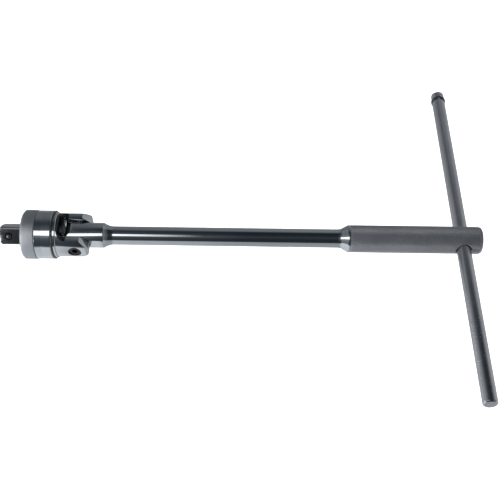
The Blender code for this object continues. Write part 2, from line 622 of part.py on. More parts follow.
def make_drive_spindle():
    corner = (DRIVE_SIDE / 2 - DRIVE_EDGE_RADIUS) * math.sqrt(2) + DRIVE_EDGE_RADIUS
    square = plate("drive_square", rounded_square(DRIVE_SIDE, DRIVE_EDGE_RADIUS, DRIVE_TURN), DRIVE_LENGTH + 1,
                   at((DRIVE_LENGTH + 1) / 2) @ FLAT_ACROSS_X)
    reach = corner + 0.5
    nose = corner - DRIVE_END_CHAMFER
    envelope = [(0, DRIVE_LENGTH + 2), (reach, DRIVE_LENGTH + 2), (reach, DRIVE_END_CHAMFER + 0.5), (nose, -0.1)]
    envelope += [(nose - 0.5, -0.1), (0, -0.1)]
    combine(square, turned("drive_chamfer", envelope, Z_TO_X), "INTERSECT")
    journal = [
        (0, REAR_JOURNAL_END), (REAR_JOURNAL_RADIUS - 0.3, REAR_JOURNAL_END),
        (REAR_JOURNAL_RADIUS, REAR_JOURNAL_END - 0.3), (REAR_JOURNAL_RADIUS, WHEEL_REAR - 1),
        (JOURNAL_RADIUS, WHEEL_REAR - 1), (JOURNAL_RADIUS, DRIVE_LENGTH + 0.4),
        (JOURNAL_RADIUS - 0.8, DRIVE_LENGTH - 0.4), (0, DRIVE_LENGTH - 0.4),
    ]
    spindle = turned("drive_spindle", journal, Z_TO_X, "dark_steel")
    wheel = plate("ratchet_wheel", wheel_outline(), WHEEL_REAR - WHEEL_FRONT,
                  at((WHEEL_FRONT + WHEEL_REAR) / 2) @ FLAT_ACROSS_X)
    combine(spindle, wheel, "UNION")
    combine(spindle, square, "UNION")
    cut(spindle, rod("drive_ball_hole", DRIVE_BALL_HOLE_RADIUS, DRIVE_BALL_HOLE_FLOOR, DRIVE_SIDE, ball_frame()))
    return spindle


def ball_frame():
    """The detent ball's frame: Z points out of the drive's face."""
    return at(DRIVE_BALL_X) @ Matrix.Rotation(DRIVE_TURN, 4, "X")


def make_drive_detent():
    reach = DRIVE_SIDE / 2 + DRIVE_BALL_PROUD - DRIVE_BALL_RADIUS
    centre = ball_frame() @ Vector((0, 0, reach * MM)) / MM
    detent = ball("drive_detent_ball", DRIVE_BALL_RADIUS, centre, "ball_steel", 20)
    spring = coil("drive_detent_spring", 3.5, 1.35, 0.2, DRIVE_BALL_HOLE_FLOOR + 0.1, 1.4, ball_frame())
    return detent, spring


def build():
    root = group("handle_frame", Matrix(), [make_handle_shaft(), *make_bar_friction()])
    group("bar_frame", at(BAR_X), make_sliding_bar(), root)
    pawl_pin = rod("pawl_pin", PAWL_PIN_RADIUS, PAWL_PIN_FRONT, PAWL_PIN_REAR,
                   at(0, 0, PAWL_PIVOT_Z) @ Z_TO_X, "spring_steel", 16)
    head_pieces = [make_ratchet_body(), make_pivot_screw(), *make_barrel(), *make_bearing(),
                   *make_hinge_stiffener(), *make_index_detent(), make_ring_wire(), pawl_pin]
    head = group("head_frame", at(PIVOT_X), head_pieces, root)
    group("selector_frame", at(RING_FRONT), make_reversing_ring(), head)
    group("pawl_frame", at(PAWL_FRONT, 0, PAWL_PIVOT_Z), make_pawl(), head)
    detent, spring = make_drive_detent()
    drive = group("drive_frame", at(WHEEL_FRONT), [make_drive_spindle(), spring], head)
    group("drive_ball_frame", ball_frame(), [detent], drive)


build()
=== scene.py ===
"""Looks for the flex-head ratchet T-handle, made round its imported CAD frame.

Every piece here stands for one CAD node and rides on that node's body. Sizes are in
millimetres and become metres through MM. Places come from the frame's boxes and joints,
and the sizes under them repeat the CAD model's.
"""

import json
import math

import bmesh
import bpy
from mathutils import Matrix, Vector

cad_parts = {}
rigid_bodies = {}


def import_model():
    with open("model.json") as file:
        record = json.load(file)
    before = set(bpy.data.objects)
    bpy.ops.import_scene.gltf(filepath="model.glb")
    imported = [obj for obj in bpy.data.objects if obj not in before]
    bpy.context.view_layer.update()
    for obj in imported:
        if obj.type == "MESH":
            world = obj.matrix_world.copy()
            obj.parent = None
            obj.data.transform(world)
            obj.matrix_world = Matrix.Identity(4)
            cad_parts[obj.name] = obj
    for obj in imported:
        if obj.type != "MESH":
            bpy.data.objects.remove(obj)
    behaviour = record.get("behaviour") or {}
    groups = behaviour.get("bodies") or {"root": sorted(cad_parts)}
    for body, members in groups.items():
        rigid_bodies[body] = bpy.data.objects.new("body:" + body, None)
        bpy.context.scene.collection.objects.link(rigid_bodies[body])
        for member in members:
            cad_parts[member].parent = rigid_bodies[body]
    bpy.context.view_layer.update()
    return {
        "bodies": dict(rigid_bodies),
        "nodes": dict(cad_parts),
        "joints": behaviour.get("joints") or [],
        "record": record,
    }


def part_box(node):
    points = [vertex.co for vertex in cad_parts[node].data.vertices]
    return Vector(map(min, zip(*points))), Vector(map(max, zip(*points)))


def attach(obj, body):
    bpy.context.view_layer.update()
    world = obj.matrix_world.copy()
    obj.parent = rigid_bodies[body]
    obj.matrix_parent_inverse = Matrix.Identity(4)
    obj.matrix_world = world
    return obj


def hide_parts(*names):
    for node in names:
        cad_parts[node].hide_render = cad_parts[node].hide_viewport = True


MM = 0.001
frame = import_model()


def box_mm(node):
    low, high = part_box(node)
    return low / MM, high / MM


JOINTS = {joint["name"]: joint for joint in frame["joints"]}
PIVOT_X = JOINTS["head_tilt"]["pos_m"][0] / MM
PAWL_PIVOT_Z = JOINTS["pawl_rock"]["pos_m"][2] / MM
SHAFT_HIGH = box_mm("handle_shaft")[1]
BODY_LOW, BODY_HIGH = box_mm("ratchet_body")
BARREL_LOW, BARREL_HIGH = box_mm("ratchet_barrel")
CLIP_LOW, CLIP_HIGH = box_mm("barrel_retaining_ring")
RING_LOW, RING_HIGH = box_mm("reversing_ring")
SCREW_LOW, SCREW_HIGH = box_mm("pivot_screw")
SPINDLE_LOW, SPINDLE_HIGH = box_mm("drive_spindle")
BAR_LOW, BAR_HIGH = box_mm("t_bar")
STOP_LOW, STOP_HIGH = box_mm("bar_stop_ring")
BALL_LOW, BALL_HIGH = box_mm("drive_detent_ball")
BUSH_LOW, BUSH_HIGH = box_mm("spindle_bush")
SNAP_LOW, SNAP_HIGH = box_mm("spindle_snap_ring")
PAWL_LOW, PAWL_HIGH = box_mm("ratchet_pawl")
PIN_LOW, PIN_HIGH = box_mm("pawl_pin")
FINGER_LOW, FINGER_HIGH = box_mm("selector_finger")
PLUG_LOW, PLUG_HIGH = box_mm("bar_friction_plug")

TURN_SEGMENTS = 144
SMALL_SEGMENTS = 48
SHARP_ANGLE = math.radians(33)
MERGE_DISTANCE = 0.004

# Turned corners sharper than EASE_ANGLE are rounded by EASE, or by a share of a side where that is less.
EASE, EASE_SHARE, EASE_ANGLE = 0.12, 0.4, math.radians(20)
# Where along such a round its points are.
EASE_POINTS = (0, 0.3, 0.7, 1)

# A spring's steps a turn, and the share of a wire's radius that is left at its ends.
COIL_STEPS, WIRE_END_SHARE = 28, 0.6
# Springs as (turns, path radius, wire radius), and the gap at their fixed ends.
FRICTION_SPRING, HINGE_SPRING = (2.5, 1.15, 0.18), (3.5, 1.05, 0.2)
INDEX_SPRING, DRIVE_SPRING = (4.5, 0.42, 0.12), (3.5, 1.35, 0.2)
SPRING_GAP = 0.1
# How far from its ball's centre each spring ends.
FRICTION_SPRING_SEAT, HINGE_SPRING_SEAT, INDEX_SPRING_SEAT = 0.8, 0.95, 0.75
# Where the drive's spring ends under its ball, from the drive's axis.
DRIVE_SPRING_END = 1.4

# How much the sharp edges of each flat piece are rounded.
STOP_RING_EDGE, CLIP_EDGE, SNAP_EDGE, PAWL_EDGE, LEAF_EDGE = 0.2, 0.12, 0.1, 0.08, 0.05
WHEEL_EDGE, DRIVE_END_EDGE = 0.08, 0.18
# Chamfers of the small pins, the plug, the bush, the screw's head and end, the journals and the ring.
PIN_CHAMFER, PLUG_CHAMFER, BUSH_CHAMFER, SCREW_HEAD_CHAMFER, SCREW_END_CHAMFER = 0.12, 0.15, 0.3, 0.3, 0.4
JOURNAL_CHAMFER, REAR_JOURNAL_CHAMFER, RING_REAR_CHAMFER = 0.8, 0.3, 0.2

# Cutters go well past what they cut: rods along Y at the tongue and the body, then slabs at both.
PAST_TONGUE, PAST_BODY, SHAFT_SLAB, BODY_SLAB = 9, 14, 30, 40
# How far outside a piece the cutters of small holes and of sockets start.
OUTSIDE, SOCKET_OUTSIDE = 0.2, 1.0

# The square drive, and the turn of its face with the ball away from +Z, about X.
DRIVE_SIDE, DRIVE_EDGE_RADIUS, DRIVE_LENGTH, DRIVE_END_CHAMFER = 9.45, 0.8, 11.2, 1.3
DRIVE_TURN = math.radians(52)
DRIVE_BALL_HOLE_RADIUS, DRIVE_BALL_HOLE_FLOOR = 2.0, -2.1
JOURNAL_RADIUS, REAR_JOURNAL_RADIUS, JOURNAL_CLEARANCE, JOURNAL_END_GAP = 6.0, 3.5, 0.1, 0.2
WHEEL_FRONT, WHEEL_REAR = 21.0, 24.9
WHEEL_TIP_RADIUS, WHEEL_ROOT_RADIUS, WHEEL_TEETH, WHEEL_LAND = 7.3, 6.5, 24, math.radians(1.4)

# The ratchet body: nose, hub under the barrel, shoulder behind it, and fork.
NOSE_RADIUS, HUB_FRONT, HUB_RADIUS = 9.5, 20.1, 11.6
BODY_BORE_RADIUS, BODY_BORE_END = 7.9, 25.2
BARREL_GROOVE_FRONT, BARREL_GROOVE_RADIUS = 29.0, 10.9
SHOULDER_FRONT, SHOULDER_RADIUS, SHOULDER_ROUND = 29.6, 12.2, 0.5
FORK_FRONT, FORK_RADIUS = 31.0, 11.65
SLOT_FLOOR, SLOT_WIDTH, SLOT_ROOT_RADIUS = 31.6, 12.8, 1.5
EAR_TOP, EAR_ROOT_RADIUS, EAR_CORNER_CUT, EAR_EDGE_RADIUS = 6.7, 5.0, 4.4, 1.0
EAR_SOFTENING = 0.22
SNAP_GROOVE_FRONT, SNAP_GROOVE_REAR, SNAP_GROOVE_RADIUS, SNAP_INNER = 14.35, 15.35, 8.5, 6.9
POCKET_FRONT, POCKET_REAR, POCKET_HALF_WIDTH, POCKET_FLOOR = 20.9, 25.1, 6.4, 5.0
NOTCH_HALF_WIDTH, NOTCH_FLOOR = 3.3, 10.2
HINGE_HOLE_RADIUS, HINGE_HOLE_FLOOR, HINGE_BALL_RADIUS = 1.45, 28.0, 1.3
INDEX_PATH_RADIUS, INDEX_HOLE_RADIUS, INDEX_HOLE_FLOOR = 10.5, 0.75, 24.6
INDEX_BALL_RADIUS, INDEX_BALL_X = 0.6, 20.15

# The pivot screw in its bores.
PIVOT_BORE_RADIUS, COUNTERBORE_RADIUS, COUNTERBORE_FLOOR = 2.6, 3.45, 8.65
PIVOT_RADIUS, SCREW_HEAD_SEAT = 2.5, 8.75
SCREW_SOCKET_FLATS, SCREW_SOCKET_DEPTH = 3.0, 1.7

# The shaft from its tongue to its knurled grip.
TONGUE_RADIUS, TONGUE_WIDTH, TONGUE_SHOULDER_RADIUS, TONGUE_EDGE_RADIUS = 6.75, 12.2, 10.2, 0.25
COLLAR_END, TAPER_END, SHAFT_RADIUS = 55.1, 60.5, 5.0
# The flare's slope at places along the shaft. It changes evenly from each to the next.
FLARE_SLOPES = ((179.4, 0.0), (181.5, 0.14), (182.3, 0.55), (185.2, 0.55), (186.4, 0.0))
PLAIN_END = 186.7
GRIP_RADIUS, GRIP_CHAMFER = 7.35, 0.8
KNURL_COUNT, KNURL_DEPTH, KNURL_PLATEAU = 42, 0.24, 0.34
KNURL_ROW, KNURL_MARGIN = 0.83, 0.1
FLARE_STEPS = 8

# The cross bar and what holds it in the grip.
BAR_BORE_RADIUS, BAR_BORE_COUNTERSINK, BAR_CHAMFER = 4.0, 0.4, 0.6
STOP_RING_INNER, STOP_GROOVE_RADIUS, STOP_GROOVE_WIDTH = 3.45, 3.15, 2.0
FRICTION_HOLE_RADIUS, FRICTION_BALL_RADIUS = 1.6, 1.3
PLUG_SOCKET_FLATS, PLUG_SOCKET_DEPTH = 1.3, 0.7
TOUCH_GAP = 0.05

# The barrel's turned lines, and its retaining ring.
BARREL_BORE_RADIUS, CLIP_INNER = 11.9, 11.2
BARREL_FRONT_EDGE, BARREL_REAR_ROUND, BARREL_REAR_INSET = 0.06, 0.5, 0.15
LINE_FIRST, LINE_PITCH, LINE_COUNT, LINE_DEPTH, LINE_HALF_WIDTH = 0.9, 0.62, 5, 0.03, 0.17

# The reversing ring, its wire, and the wire's grooves.
RING_CHAMFER, RING_MOUTH_RADIUS, RING_WALL, RING_BORE_RADIUS = 1.0, 6.5, 1.1, 9.8
WIRE_X, WIRE_RADIUS, WIRE_PATH_RADIUS = 17.5, 0.4, 9.65
WIRE_FRONT, WIRE_REAR, NOSE_WIRE_GROOVE, RING_WIRE_GROOVE = 16.9, 18.1, 9.0, 10.3
FINGER_PATH_RADIUS, FINGER_TURN, FINGER_END_GAP = 11.1, math.radians(12), 0.2
INDEX_TRACK_DEPTH, INDEX_TRACK_OUTER, INDEX_TRACK_MARGIN = 0.65, 11.3, math.radians(6)
INDEX_DIMPLE_RADIUS = 0.75

# The pawl, tilted about its pin so that its +Y tooth is in the wheel, and its leaf spring.
PAWL_BORE_RADIUS, PAWL_BACK_Z, PAWL_HALF_LENGTH, PIN_END_GAP = 0.7, 10.0, 4.6, 0.3
PAWL_SHOULDER, PAWL_CHEEK = (5.3, 9.3), (5.1, 7.2)
PAWL_ARC_RADIUS, PAWL_ARC_HALF_ANGLE = 7.85, math.radians(27)
PAWL_TOOTH_RADIUS, PAWL_TOOTH_ANGLE = 7.2, math.radians(30.4)
PAWL_ROCK = math.radians(6)
LEAF_GAP, LEAF_THICKNESS, LEAF_HALF_LENGTH, LEAF_NARROWER = 0.15, 0.2, 4.0, 0.4

# Frames that take a local axis to a world one.
Z_TO_X = Matrix.Rotation(math.radians(90), 4, "Y")
Z_TO_Y = Matrix.Rotation(math.radians(-90), 4, "X")
FLAT_ACROSS_X = Matrix(((0, 0, 1, 0), (1, 0, 0, 0), (0, 1, 0, 0), (0, 0, 0, 1)))
FLAT_ACROSS_Y = Matrix.Rotation(math.radians(90), 4, "X")

BAR_X = (BAR_LOW.x + BAR_HIGH.x) / 2
BAR_RADIUS = BAR_HIGH.z
BALL_CENTRE = (BALL_LOW + BALL_HIGH) / 2
BALL_RADIUS = (BALL_HIGH.x - BALL_LOW.x) / 2


# Shapes


def at(x, y=0, z=0):
    return Matrix.Translation(Vector((x, y, z)) * MM)


def new_object(name, shape, frame):
    """Makes an object of a bmesh built in a local frame. Its own origin is the world's."""
    shape.transform(frame)
    bmesh.ops.recalc_face_normals(shape, faces=shape.faces)
    mesh = bpy.data.meshes.new(name)
    shape.to_mesh(mesh)
    shape.free()
    obj = bpy.data.objects.new(name, mesh)
    bpy.context.scene.collection.objects.link(obj)
    return obj


def bridge(shape, first, second):
    count = len(first)
    for i in range(count):
        n = (i + 1) % count
        shape.faces.new((first[i], first[n], second[n], second[i]))


def circle(shape, radius, along, segments):
    angles = [2 * math.pi * i / segments for i in range(segments)]
    return [shape.verts.new((radius * math.cos(a) * MM, radius * math.sin(a) * MM, along * MM))
            for a in angles]


def ease(outline, closed):
    """Rounds an outline's sharp corners by EASE or less. An open outline's ends stay."""
    points = [Vector(point) for point in outline]
    result = []
    for i, corner in enumerate(points):
        if not closed and i in (0, len(points) - 1):
            result.append(corner)
            continue
        before = points[i - 1] - corner
        after = points[(i + 1) % len(points)] - corner
        turn = math.pi - before.angle(after)
        reach = min(EASE, EASE_SHARE * before.length, EASE_SHARE * after.length)
        if turn < EASE_ANGLE:
            result.append(corner)
            continue
        start = corner + before.normalized() * reach
        end = corner + after.normalized() * reach
        for share in EASE_POINTS:
            result.append(start * (1 - share) ** 2 + corner * 2 * share * (1 - share) + end * share ** 2)
    return [tuple(point) for point in result]


def turned(name, outline, frame, segments=TURN_SEGMENTS, eased=True, knurl=None):
    """Turns an outline of (radius, place along the axis) about local Z. Flat ends on the axis are n-gons.

    knurl is (start, end, root's radius, crest's radius), for a diamond knurl from start to end.
    """
    closed = outline[0][0] > 0
    if eased:
        outline = ease(outline, closed)
    outline = [point for point in outline if point[0] > 0]
    shape = bmesh.new()
    rings = [circle(shape, radius, along, segments) for radius, along in outline]
    if not closed:
        shape.faces.new(rings[0])
        shape.faces.new(rings[-1])
    following = rings[1:] + (rings[:1] if closed else [])
    for first, second in zip(rings, following):
        if knurl and is_knurl(first, second, knurl):
            knurl_between(shape, first, second, *knurl)
        else:
            bridge(shape, first, second)
    return new_object(name, shape, frame)


def is_knurl(first, second, knurl):
    start, end = knurl[:2]
    places = sorted((first[0].co.z / MM, second[0].co.z / MM))
    return abs(places[0] - start) < 0.01 and abs(places[1] - end) < 0.01


def knurl_between(shape, first, second, start, end, root, crest):
    """Tiles the band between two rings with raised diamonds, with four slopes down to their grooves."""
    if first[0].co.z > second[0].co.z:
        first, second = second, first
    steps = len(first)
    rows = 2 * round((end - start) / KNURL_ROW / 2)
    pitch = (end - start) / rows

    def point(row, step, radius):
        angle = 2 * math.pi * step / steps
        return Vector((radius * math.cos(angle), radius * math.sin(angle), start + row * pitch)) * MM

    lattice = {(0, step): vert for step, vert in enumerate(first)}
    lattice.update({(rows, step): vert for step, vert in enumerate(second)})
    for row in range(1, rows):
        for step in range((row + 1) % 2, steps, 2):
            lattice[row, step] = shape.verts.new(point(row, step, root))
    sides = ((-1, 0), (0, 1), (1, 0), (0, -1))
    for row in range(1, rows):
        for step in range(row % 2, steps, 2):
            corners = [lattice[row + a, (step + b) % steps] for a, b in sides]
            top = [shape.verts.new(point(row + KNURL_PLATEAU * a, step + KNURL_PLATEAU * b, crest))
                   for a, b in sides]
            bridge(shape, corners, top)
            shape.faces.new(top)
    for edge, inner in ((0, 1), (rows, rows - 1)):
        for step in range(0, steps, 2):
            left, middle, right = (lattice[edge, (step + s) % steps] for s in (-1, 0, 1))
            tip = lattice[inner, step]
            shape.faces.new((left, middle, tip))
            shape.faces.new((middle, right, tip))


def slab(name, outline, thickness, frame):
    """A flat outline of (x, y) in the frame's XY plane, as thick as given and centred on it."""
    shape = bmesh.new()
    levels = []
    for side in (-1, 1):
        levels.append([shape.verts.new((x * MM, y * MM, side * thickness / 2 * MM)) for x, y in outline])
        shape.faces.new(levels[-1])
    bridge(shape, *levels)
    return new_object(name, shape, frame)


def rod(name, radius, start, end, frame, segments=SMALL_SEGMENTS, chamfer=0):
    """A round bar along the frame's Z, from start to end."""
    high, low = [(0, end), (radius, end)], [(radius, start), (0, start)]
    if chamfer:
        high[1:] = [(radius - chamfer, end), (radius, end - chamfer)]
        low[:1] = [(radius, start + chamfer), (radius - chamfer, start)]
    return turned(name, high + low, frame, segments, eased=False)


def block(name, low, high):
    low, high = Vector(low), Vector(high)
    outline = [(low.x, low.y), (high.x, low.y), (high.x, high.y), (low.x, high.y)]
    return slab(name, outline, high.z - low.z, at(0, 0, (low.z + high.z) / 2))


def ball(name, radius, centre, segments=40):
    shape = bmesh.new()
    bmesh.ops.create_uvsphere(shape, u_segments=segments, v_segments=segments // 2, radius=radius * MM)
    return new_object(name, shape, at(*centre))


def tube(name, points, radius, frame, sides=16):
    """A round wire through points given in the frame's own axes, with its ends ground a little round."""
    points = [Vector(point) for point in points]
    shape = bmesh.new()
    rings = []
    last = len(points) - 1
    normal = None
    for i, centre in enumerate(points):
        ahead = (points[min(i + 1, last)] - points[max(i - 1, 0)]).normalized()
        if normal is None:
            normal = ahead.orthogonal()
        normal = (normal - ahead * normal.dot(ahead)).normalized()
        across = ahead.cross(normal)
        size = radius * (WIRE_END_SHARE if i in (0, last) else 1)
        angles = [2 * math.pi * k / sides for k in range(sides)]
        rings.append([shape.verts.new((centre + (normal * math.cos(a) + across * math.sin(a)) * size) * MM)
                      for a in angles])
    for first, second in zip(rings, rings[1:]):
        bridge(shape, first, second)
    shape.faces.new(rings[0])
    shape.faces.new(rings[-1])
    return new_object(name, shape, frame)


def coil(name, turns, path_radius, wire_radius, start, end, frame):
    """A compression spring along the frame's Z. Its outer ends lie at start and end."""
    first, last = start + wire_radius, end - wire_radius
    count = round(turns * COIL_STEPS)
    points = []
    for i in range(count + 1):
        angle = 2 * math.pi * turns * i / count
        along = first + (last - first) * i / count
        points.append((path_radius * math.cos(angle), path_radius * math.sin(angle), along))
    return tube(name, points, wire_radius, frame)


def carve(target, operation, *tools):
    """Applies a Boolean with each tool in turn, and removes the tools."""
    for tool in tools:
        boolean = target.modifiers.new(tool.name, "BOOLEAN")
        boolean.operation = operation
        boolean.solver = "EXACT"
        boolean.object = tool
    graph = bpy.context.evaluated_depsgraph_get()
    mesh = bpy.data.meshes.new_from_object(target.evaluated_get(graph))
    target.modifiers.clear()
    target.data = mesh
    for tool in tools:
        bpy.data.objects.remove(tool)


def soften(obj, width, chosen=None, segments=3):
    """Rounds the sharp edges whose middle, in millimetres, chosen accepts."""
    shape = bmesh.new()
    shape.from_mesh(obj.data)
    bmesh.ops.remove_doubles(shape, verts=shape.verts, dist=MERGE_DISTANCE * MM)
    edges = []
    for edge in shape.edges:
        middle = (edge.verts[0].co + edge.verts[1].co) / 2 / MM
        sharp = len(edge.link_faces) == 2 and edge.calc_face_angle() > SHARP_ANGLE
        if sharp and (chosen is None or chosen(middle)):
            edges.append(edge)
    bmesh.ops.bevel(shape, geom=edges, offset=width * MM, offset_type="OFFSET", segments=segments,
                    profile=0.5, affect="EDGES", clamp_overlap=True)
    shape.to_mesh(obj.data)
    shape.free()


def polar(radius, angle):
    """A point (y, z) at an angle that grows from +Z towards +Y."""
    return radius * math.sin(angle), radius * math.cos(angle)


def arc(centre, radius, first, last, steps):
    """Points from one angle to another, counted from the first axis towards the second."""
    angles = [first + (last - first) * i / steps for i in range(steps + 1)]
    return [(centre[0] + radius * math.cos(a), centre[1] + radius * math.sin(a)) for a in angles]


def open_ring(outer, inner, gap, gap_at, steps=90):
    """The outline of a flat ring with a gap, whose middle is at the angle gap_at."""
    first, last = gap_at + gap / 2, gap_at + 2 * math.pi - gap / 2
    return arc((0, 0), outer, first, last, steps) + arc((0, 0), inner, last, first, steps)


def rounded_square(side, radius, turn):
    points = []
    for corner in range(4):
        middle = math.radians(45 + 90 * corner)
        reach = (side / 2 - radius) * math.sqrt(2)
        centre = (reach * math.cos(middle), reach * math.sin(middle))
        points += arc(centre, radius, middle - math.pi / 4, middle + math.pi / 4, 8)
    cos, sin = math.cos(turn), math.sin(turn)
    return [(y * cos - z * sin, y * sin + z * cos) for y, z in points]


def hexagon(flats):
    return arc((0, 0), flats / math.sqrt(3), 0, 2 * math.pi * 5 / 6, 5)


# Finishes


def feed(tree, socket, value):
    """Links an input to another socket, or sets it to a value."""
    if isinstance(value, bpy.types.NodeSocket):
        tree.links.new(value, socket)
    else:
        socket.default_value = value


def node(tree, kind, inputs=None, **settings):
    made = tree.nodes.new(kind)
    for name, value in settings.items():
        setattr(made, name, value)
    for name, value in (inputs or {}).items():
        feed(tree, made.inputs[name], value)
    return made


def principled(name):
    """A new material, its node tree and its shader's inputs."""
    material = bpy.data.materials.new(name)
    material.use_nodes = True
    return material, material.node_tree, material.node_tree.nodes["Principled BSDF"].inputs


def noise(tree, place, stretch, detail=3, rough=0.55, distortion=0.0):
    """Noise whose features repeat stretch times a metre along each axis, from 0 to 1."""
    mapped = node(tree, "ShaderNodeMapping", {"Vector": place, "Scale": stretch})
    settings = {"Vector": mapped.outputs["Vector"], "Scale": 1.0, "Detail": detail, "Roughness": rough,
                "Distortion": distortion}
    return node(tree, "ShaderNodeTexNoise", settings).outputs["Fac"]


def remap(tree, value, low, high, start=0.3, end=0.7):
    """Maps start to low and end to high, and holds past them."""
    settings = {"Value": value, "From Min": start, "From Max": end, "To Min": low, "To Max": high}
    return node(tree, "ShaderNodeMapRange", settings).outputs["Result"]


def mix_colour(tree, share, first, second):
    """Mixes two colours, each a socket or (red, green, blue)."""
    first, second = ((*colour, 1) if isinstance(colour, tuple) else colour for colour in (first, second))
    return node(tree, "ShaderNodeMix", {0: share, 6: first, 7: second}, data_type="RGBA").outputs[2]


def bump(tree, height, distance, strength=1.0, normal=None):
    inputs = {"Height": height, "Distance": distance, "Strength": strength}
    if normal:
        inputs["Normal"] = normal
    return node(tree, "ShaderNodeBump", inputs).outputs["Normal"]


# Features a metre of the soft patches, the smears and the pores, and how far the painted crevice shade
# reaches, in millimetres.
PATCHES, SMEARS, PORES, CREVICE_SHADE_REACH = (90, 90, 90), (420, 420, 420), (2600, 2600, 2600), 0.6
# The pointiness at which wear starts and is full, and how much it covers then.
WEAR_START, WEAR_FULL, WEAR_COVER = 0.52, 0.6, 0.85


def metal(name, colour, stain, rough, grain, grain_height, wear=None, crevice_shade=None, pores=0.0):
    """A metal finish.

    colour and stain are mixed in soft patches, rough is (least, most), grain is the number of tool
    lines a metre along X, Y and Z, and grain_height their height in millimetres. wear is the colour of
    rubbed edges, crevice_shade the colour of a painted shade laid into crevices by ambient occlusion,
    and pores the height of a fine pitting.
    """
    material, tree, inputs = principled(name)
    place = node(tree, "ShaderNodeTexCoord").outputs["Object"]
    patches = noise(tree, place, PATCHES, 4, 0.6, 0.4)
    smears = noise(tree, place, SMEARS, 5, 0.65, 0.8)
    lines = noise(tree, place, grain, 3, 0.6)
    surface = mix_colour(tree, remap(tree, patches, 0.0, 1.0), colour, stain)
    roughness = remap(tree, smears, rough[0], rough[1], 0.35, 0.75)
    if wear:
        pointiness = node(tree, "ShaderNodeNewGeometry").outputs["Pointiness"]
        edges = remap(tree, pointiness, 0.0, WEAR_COVER, WEAR_START, WEAR_FULL)
        gaps = remap(tree, smears, 0.35, 1.0)
        broken = node(tree, "ShaderNodeMath", {0: edges, 1: gaps}, operation="MULTIPLY")
        surface = mix_colour(tree, broken.outputs[0], surface, wear)
    # Painted shade: the colour darkens towards the crevice colour where ambient occlusion finds crevices.
    if crevice_shade:
        shade = node(tree, "ShaderNodeAmbientOcclusion", {"Distance": CREVICE_SHADE_REACH * MM}, samples=6)
        surface = mix_colour(tree, remap(tree, shade.outputs["AO"], 1.0, 0.0, 0.25, 0.95), surface, crevice_shade)
    normal = bump(tree, lines, grain_height * MM)
    if pores:
        normal = bump(tree, noise(tree, place, PORES, 2), pores * MM, 1.0, normal)
    feed(tree, inputs["Base Color"], surface)
    feed(tree, inputs["Roughness"], roughness)
    feed(tree, inputs["Normal"], normal)
    inputs["Metallic"].default_value = 1.0
    return material


# Tool lines a metre along each axis: turned about X, turned about Y, and blasted or ground every way.
ROUND_X, ROUND_Y, EVERY_WAY = (9000, 60, 60), (60, 9000, 60), (2500, 2500, 2500)
FINISH = {
    "polished": metal("polished_chrome", (0.49, 0.515, 0.53), (0.45, 0.475, 0.49), (0.04, 0.1),
                      ROUND_X, 0.0004),
    "barrel": metal("turned_chrome", (0.49, 0.515, 0.53), (0.45, 0.475, 0.49), (0.05, 0.12),
                    ROUND_X, 0.0008),
    # A near-black finish that paints the shade inside the fork's slot.
    "recess": metal("recess_painted_shade", (0.075, 0.085, 0.09), (0.04, 0.045, 0.05), (0.35, 0.5),
                    EVERY_WAY, 0.004, pores=0.003),
    # The knurl's grooves get a painted shade, darker where ambient occlusion is stronger.
    "knurl": metal("knurled_chrome", (0.5, 0.515, 0.545), (0.43, 0.445, 0.47), (0.46, 0.58),
                   EVERY_WAY, 0.002, crevice_shade=(0.2, 0.2, 0.21)),
    "satin_ring": metal("satin_chrome", (0.42, 0.435, 0.46), (0.36, 0.375, 0.4), (0.5, 0.62),
                        EVERY_WAY, 0.006, pores=0.004),
    "satin_bar": metal("satin_chrome_bar", (0.46, 0.47, 0.49), (0.4, 0.41, 0.43), (0.16, 0.3),
                       ROUND_Y, 0.0012),
    "drive": metal("hardened_drive_steel", (0.21, 0.22, 0.22), (0.17, 0.18, 0.18), (0.12, 0.2),
                   EVERY_WAY, 0.001, wear=(0.42, 0.43, 0.43)),
    "drive_ball": metal("dark_ball", (0.1, 0.105, 0.11), (0.07, 0.075, 0.08), (0.34, 0.42),
                        EVERY_WAY, 0.001),
    "oxide": metal("black_oxide", (0.085, 0.095, 0.088), (0.055, 0.062, 0.058), (0.26, 0.42),
                   EVERY_WAY, 0.003, wear=(0.25, 0.26, 0.25), pores=0.002),
    "oxide_screw": metal("black_oxide_screw", (0.045, 0.048, 0.046), (0.025, 0.027, 0.025), (0.3, 0.45),
                         ROUND_Y, 0.002, wear=(0.12, 0.12, 0.12)),
    "spring": metal("spring_steel", (0.36, 0.36, 0.38), (0.27, 0.26, 0.25), (0.22, 0.36),
                    EVERY_WAY, 0.002),
    "bearing": metal("bearing_steel", (0.6, 0.6, 0.62), (0.52, 0.52, 0.54), (0.06, 0.14),
                     EVERY_WAY, 0.0004),
    "bronze": metal("sintered_bronze", (0.62, 0.42, 0.2), (0.45, 0.29, 0.13), (0.3, 0.48),
                    ROUND_X, 0.002, pores=0.012),
}


def wrap_up(obj, finish, body, node_name):
    """Shades a piece, gives it its finish and joins it to the frame."""
    obj.data.materials.clear()
    obj.data.materials.append(FINISH[finish])
    obj.data.shade_smooth()
    obj.data.set_sharp_from_angle(angle=SHARP_ANGLE)
    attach(obj, body)
    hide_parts(node_name)


def second_finish(obj, finish, chosen):
    """Gives another finish to the faces whose middle, in millimetres, chosen accepts."""
    obj.data.materials.append(FINISH[finish])
    for face in obj.data.polygons:
        if chosen(face.center / MM):
            face.material_index = 1


# Handle


def flare():
    """The side of the flare from the shaft up to the grip, as (radius, along)."""
    rise, points = 0.0, [(0.0, FLARE_SLOPES[0][0])]
    for (start, slope), (end, following) in zip(FLARE_SLOPES, FLARE_SLOPES[1:]):
        step = (end - start) / FLARE_STEPS
        for i in range(FLARE_STEPS):
            rise += (slope + (following - slope) * (i + 0.5) / FLARE_STEPS) * step
            points.append((rise, start + step * (i + 1)))
    scale = (GRIP_RADIUS - SHAFT_RADIUS) / rise
    return [(SHAFT_RADIUS + height * scale, along) for height, along in points]


